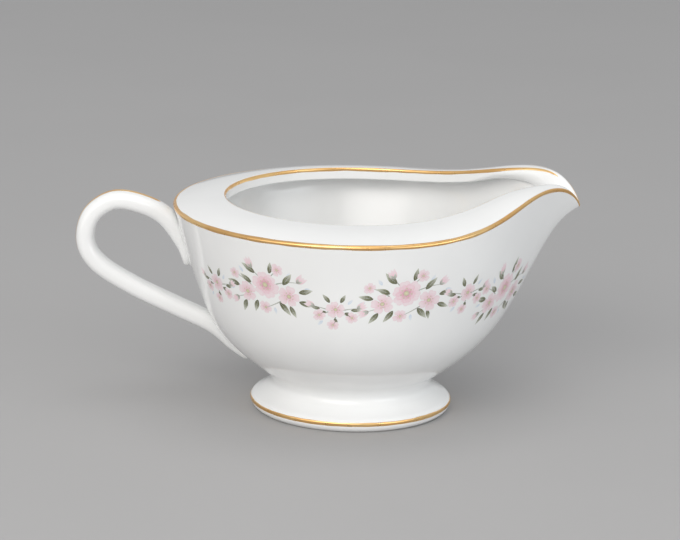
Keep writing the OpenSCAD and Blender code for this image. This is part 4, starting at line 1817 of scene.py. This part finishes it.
    def blades(self, rows: Array, width: float, curl: float, height: float, ink: float) -> Surface:
        """Pointed leaves, or the petals of a bud: two bowed sides that meet in a tip.

        The sides bow as half a sine wave of u along the blade, and the whole bends aside as u squared.
        The print thins towards the tip and along the middle.

        Args:
            rows: The marks' rows.
            width: Half-width as a share of the length.
            curl: How far the tip bends aside, as a share of the length.
            height: Height over the wall.
            ink: Strength of the print.

        Returns:
            The blades.
        """
        u, w = self.grid(13, 7)
        rng, order = np.random.default_rng(23), np.arange(len(rows))
        length = (rows[:, SIZE] * rng.uniform(0.9, 1.1, len(rows)))[:, None, None]
        bow = curl * rng.uniform(-1.0, 1.0, len(rows))[:, None, None]
        aside = length * (width * np.sin(np.pi * (0.03 + 0.96 * u) ** 0.8) * w + bow * u**2)
        flat = self.aimed(rows[:, AT], rows[:, TURN], length * u, aside)
        tone = np.clip(0.12 + 0.75 * u + 0.25 * np.abs(w), 0.0, 1.0)
        strength = ink * (1.0 - 0.5 * u**1.5) * (1.0 - 0.25 * np.exp(-((w / 0.12) ** 2)))
        points = self.carried(rows, flat, height + self.blade_step * (order % 7))
        return self.printed(points, (u + order[:, None, None], w), tone, strength)

    def stalks(self, rows: Array) -> Surface:
        """Thin twigs that taper along their quadratic curves.

        Args:
            rows: The marks' rows.

        Returns:
            The twigs.
        """
        u, w = self.grid(19, 3)
        a, b, c = (rows[:, None, None, i : i + 2] for i in (3, 5, 7))
        s = u[..., None]
        step = unit(2 * (1 - s) * (b - a) + 2 * s * (c - b))
        left = np.stack([-step[..., 1], step[..., 0]], axis=-1)
        flat = quadratic(a, b, c, s) + left * (w * (0.2 - 0.09 * u))[..., None]
        return self.printed(self.carried(rows, flat, self.lift), (u, w), 0.3 + 0.3 * u, 0.75 - 0.2 * u)

    def discs(self, rows: Array, at: Array, radius: Array, height: float, sides: int = 14) -> Surface:
        """Round hearts and stamens, with their tone growing outwards.

        Args:
            rows: The marks' rows.
            at: Places in the spray, (n, 2).
            radius: Radii, (n,).
            height: Height over the wall.
            sides: Points round each disc.

        Returns:
            The discs, each with a pinhole in its middle.
        """
        u, w = (x[..., :-1] for x in self.grid(max(2, sides // 3), sides + 1))
        size = radius[:, None, None] * (0.04 + 0.96 * u)
        flat = self.aimed(at, np.zeros(len(rows)), size * np.cos(np.pi * w), size * np.sin(np.pi * w))
        marks = self.printed(self.carried(rows, flat, height), (u, w), u, 0.9 - 0.15 * u)
        marks.wrap_cols = True
        return marks

    def stamens(self, flowers: Array) -> Surface:
        """Small dots in a ring round each flower's heart.

        Args:
            flowers: The flowers' rows.

        Returns:
            The dots.
        """
        rows = np.repeat(flowers, self.stamen_count, axis=0)
        order = np.tile(np.arange(self.stamen_count), len(flowers))
        turn = np.radians(rows[:, TURN] + order * 360.0 / self.stamen_count + self.stamen_turn)
        at = rows[:, AT] + self.stamen_ring * rows[:, SIZE, None] * spokes(turn)
        radius = self.stamen_share * rows[:, SIZE]
        return self.discs(rows, at, radius, self.lift + 5 * self.layer, sides=8)

    @staticmethod
    def fanned(buds: Array, turns: tuple[float, ...]) -> Array:
        """Repeats buds' rows, turned to each side.

        Args:
            buds: The buds' rows, (n, ...).
            turns: Turns in degrees.

        Returns:
            One row for each bud and turn.
        """
        rows = np.repeat(buds, len(turns), axis=0)
        rows[:, TURN] += np.tile(turns, len(buds))
        return rows

    def build(self) -> None:
        """Prints every kind of mark."""
        roses, blossoms, buds = (self.placed(kind) for kind in ("roses", "blossoms", "buds"))
        leaves, touches, twigs = (self.placed(kind) for kind in ("leaves", "touches", "twigs"))
        flowers = np.concatenate([roses, blossoms])
        folded, cups = self.fanned(buds, (-17.0, 17.0, 0.0)), self.fanned(buds, (-26.0, 26.0))
        cups[:, SIZE] *= self.cup_share
        low, step = self.lift, self.layer
        bud_petals = self.blades(folded, width=0.2, curl=0.05, height=low + step, ink=0.8)
        bud_cups = self.blades(cups, width=0.2, curl=0.1, height=low + 2 * step, ink=0.9)
        green = self.blades(leaves, width=0.19, curl=0.14, height=low + 0.4 * step, ink=1.35)
        hearts = self.discs(flowers, flowers[:, AT], self.heart_share * flowers[:, SIZE], low + 4 * step)
        pieces = {
            "rose_outer_petals": (self.ring(roses, count=6, share=1.0, spread=33.0, ring=0), self.pink),
            "rose_middle_petals": (self.ring(roses, count=5, share=0.7, spread=38.0, ring=1), self.pink),
            "rose_inner_petals": (self.ring(roses, count=4, share=0.44, spread=45.0, ring=2), self.pink),
            "blossom_petals": (self.ring(blossoms, count=5, share=1.0, spread=34.0, ring=0), self.pink),
            "bud_petals": (bud_petals, self.pink),
            "bud_cups": (bud_cups, self.olive),
            "leaves": (green, self.olive),
            "blue_touches": (self.blades(touches, width=0.2, curl=0.1, height=low, ink=0.7), self.blue),
            "twigs": (self.stalks(twigs), self.olive),
            "flower_hearts": (hearts, self.hearts),
            "stamens": (self.stamens(flowers), self.hearts),
        }
        for name, (surface, ink) in pieces.items():
            place(f"printed_{name}", surface, ink, Slot.PORCELAIN)


@dataclass(frozen=True)
class FloorPaint(Finish):
    """Pale matt paint, slightly mottled.

    Attributes:
        name: Name of the material.
        tint: Its colour.
        dim: Brightness of the darkest patches.
        scale: Scale of the patches.
    """

    name: str = "pale_floor"
    tint: Colour = (0.46, 0.455, 0.455)
    dim: float = 0.985
    scale: float = 9.0

    def lay_out(self, n: Nodes, shader: bpy.types.Node) -> None:
        """Lays out the mottled colour.

        Args:
            n: The material's nodes.
            shader: The shader that they feed.
        """
        mottle = n.span(n.noise(n.where(), self.scale, 3.0), *NOISE_SPAN, 0.0, 1.0)
        colour = n.mix(mottle, self.tint, tuple(self.dim * c for c in self.tint))
        n.feed(shader, Base_Color=colour, Roughness=0.9, Specular_IOR_Level=0.1)


@dataclass(frozen=True)
class SoftBox:
    """A soft lamp that faces the jug, brightest in its middle and dying away to its edges.

    Attributes:
        name: Name of the lamp.
        at: Its place in metres.
        size: Its width and height in metres.
        watts: Its power.
        tint: Its colour.
    """

    name: str
    at: tuple[float, float, float]
    size: tuple[float, float]
    watts: float
    tint: Colour

    def build(self, aim: Vector) -> None:
        """Sets the lamp up, with a glow of 36 u (1 - u) v (1 - v) over its face, which is 1 on average.

        Args:
            aim: The place that it faces, in metres.
        """
        light = bpy.data.lights.new(self.name, "AREA")
        light.shape, light.size, light.size_y = "RECTANGLE", *self.size
        light.energy, light.color = self.watts, self.tint
        light.use_nodes = True
        n = Nodes(light.node_tree)
        face = n.add("SeparateXYZ", Vector=n.add("NewGeometry").outputs["Parametric"])
        fade = [n.math("MULTIPLY", u, n.math("SUBTRACT", 1.0, u)) for u in face.outputs[:2]]
        glow = n.math("MULTIPLY", n.math("MULTIPLY", *fade), 36.0)
        n.feed(light.node_tree.nodes["Emission"], Strength=glow)
        lamp = bpy.data.objects.new(self.name, light)
        lamp.location = self.at
        lamp.rotation_euler = (aim - lamp.location).to_track_quat("-Z", "Y").to_euler()
        bpy.context.scene.collection.objects.link(lamp)


@dataclass
class Studio:
    """The plain floor, the soft light and the camera.

    The lamps, their aim and the floor's radius are in metres, the camera's target and distance in
    millimetres and its focal length and width in the photo's pixels.
    """

    floor_r: float = 3.0
    floor_steps: int = 96
    paint: FloorPaint = FloorPaint()
    lamps: tuple[SoftBox, ...] = (
        SoftBox("key", (-0.4, -1.3, 0.8), (1.6, 1.0), 10.6, (1.0, 0.975, 0.94)),
        SoftBox("right_fill", (1.05, -0.95, 0.15), (1.2, 1.0), 6.5, (0.92, 0.965, 1.0)),
        SoftBox("left_fill", (-1.0, -0.9, 0.25), (1.2, 1.0), 2.2, (1.0, 0.97, 0.93)),
        SoftBox("top_box", (0.1, -0.1, 1.4), (1.2, 0.9), 2.2, (1.0, 1.0, 1.0)),
    )
    aim: tuple[float, float, float] = (0.0, 0.0, 0.04)
    sky: float = 0.6
    sky_tint: Colour = (0.98, 0.99, 1.0)
    target: tuple[float, float, float] = (-4.28, 0.0, 44.45)
    distance: float = 980.0
    elevation: float = 14.16
    roll: float = 1.34
    focal_px: float = 3085.0
    width_px: float = 680.0
    sensor_mm: float = 36.0

    def floor(self) -> None:
        """A round pale floor."""
        angle = np.linspace(0.0, 360.0, self.floor_steps, endpoint=False)
        rings = np.array([[1.0, 0.0], [0.3, 0.0], [0.02, 0.0]]) * self.floor_r / MM
        points = turned(np.broadcast_to(rings, (self.floor_steps, *rings.shape)), angle[:, None])
        disc = Surface(points, wrap_rows=True, poles={"high_col": np.zeros(3)}).build("floor")
        disc.data.materials.append(self.paint.material())

    def light(self) -> None:
        """A broad key at the front left, low fills on both sides, a top box and an even sky."""
        for lamp in self.lamps:
            lamp.build(Vector(self.aim))
        world = bpy.data.worlds.new("studio")
        world.use_nodes = True
        bpy.context.scene.world = world
        sky = world.node_tree.nodes["Background"]
        Nodes(world.node_tree).feed(sky, Color=self.sky_tint, Strength=self.sky)

    def camera(self) -> None:
        """The photo's camera: its target is in the middle of the picture."""
        e, r = math.radians(self.elevation), math.radians(self.roll)
        ahead, right = Vector((0.0, math.cos(e), -math.sin(e))), Vector((1.0, 0.0, 0.0))
        up = right.cross(ahead)
        tilted_right = right * math.cos(r) + up * math.sin(r)
        tilted_up = up * math.cos(r) - right * math.sin(r)
        lens = bpy.data.cameras.new("photo_camera")
        lens.sensor_fit, lens.sensor_width = "HORIZONTAL", self.sensor_mm
        lens.lens = self.focal_px / self.width_px * lens.sensor_width
        lens.clip_start, lens.clip_end = 0.05, 20.0
        camera = bpy.data.objects.new("photo_camera", lens)
        at = (Vector(self.target) - ahead * self.distance) * MM
        axes = Matrix((tilted_right, tilted_up, -ahead)).transposed()
        camera.matrix_world = Matrix.Translation(at) @ axes.to_4x4()
        bpy.context.scene.collection.objects.link(camera)
        bpy.context.scene.camera = camera

    def build(self) -> None:
        """Sets up the floor, the light, the camera and the plain view."""
        self.floor()
        self.light()
        self.camera()
        bpy.context.scene.view_settings.view_transform = "Standard"


def main() -> None:
    """Loads the frame, builds each sub-assembly, and sets the stage, the light and the camera."""
    logging.basicConfig(level=logging.INFO, format="%(name)s: %(message)s")
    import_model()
    shape = JugShape.from_frame()
    glaze, slip = Glaze(), Glaze(name="glazed_slip", tint=(0.89, 0.893, 0.887))
    brush = Brush()
    bowl = Bowl(shape)
    bowl.build(glaze)
    foot = Foot.from_frame(shape)
    foot.build(glaze, slip)
    handle = Handle(shape)
    handle.build(glaze, slip)
    Transfers(shape).build()
    RimGold(bowl).build(brush)
    foot.gild(brush)
    handle.gild(brush)
    Studio().build()


if __name__ == "__main__":
    main()
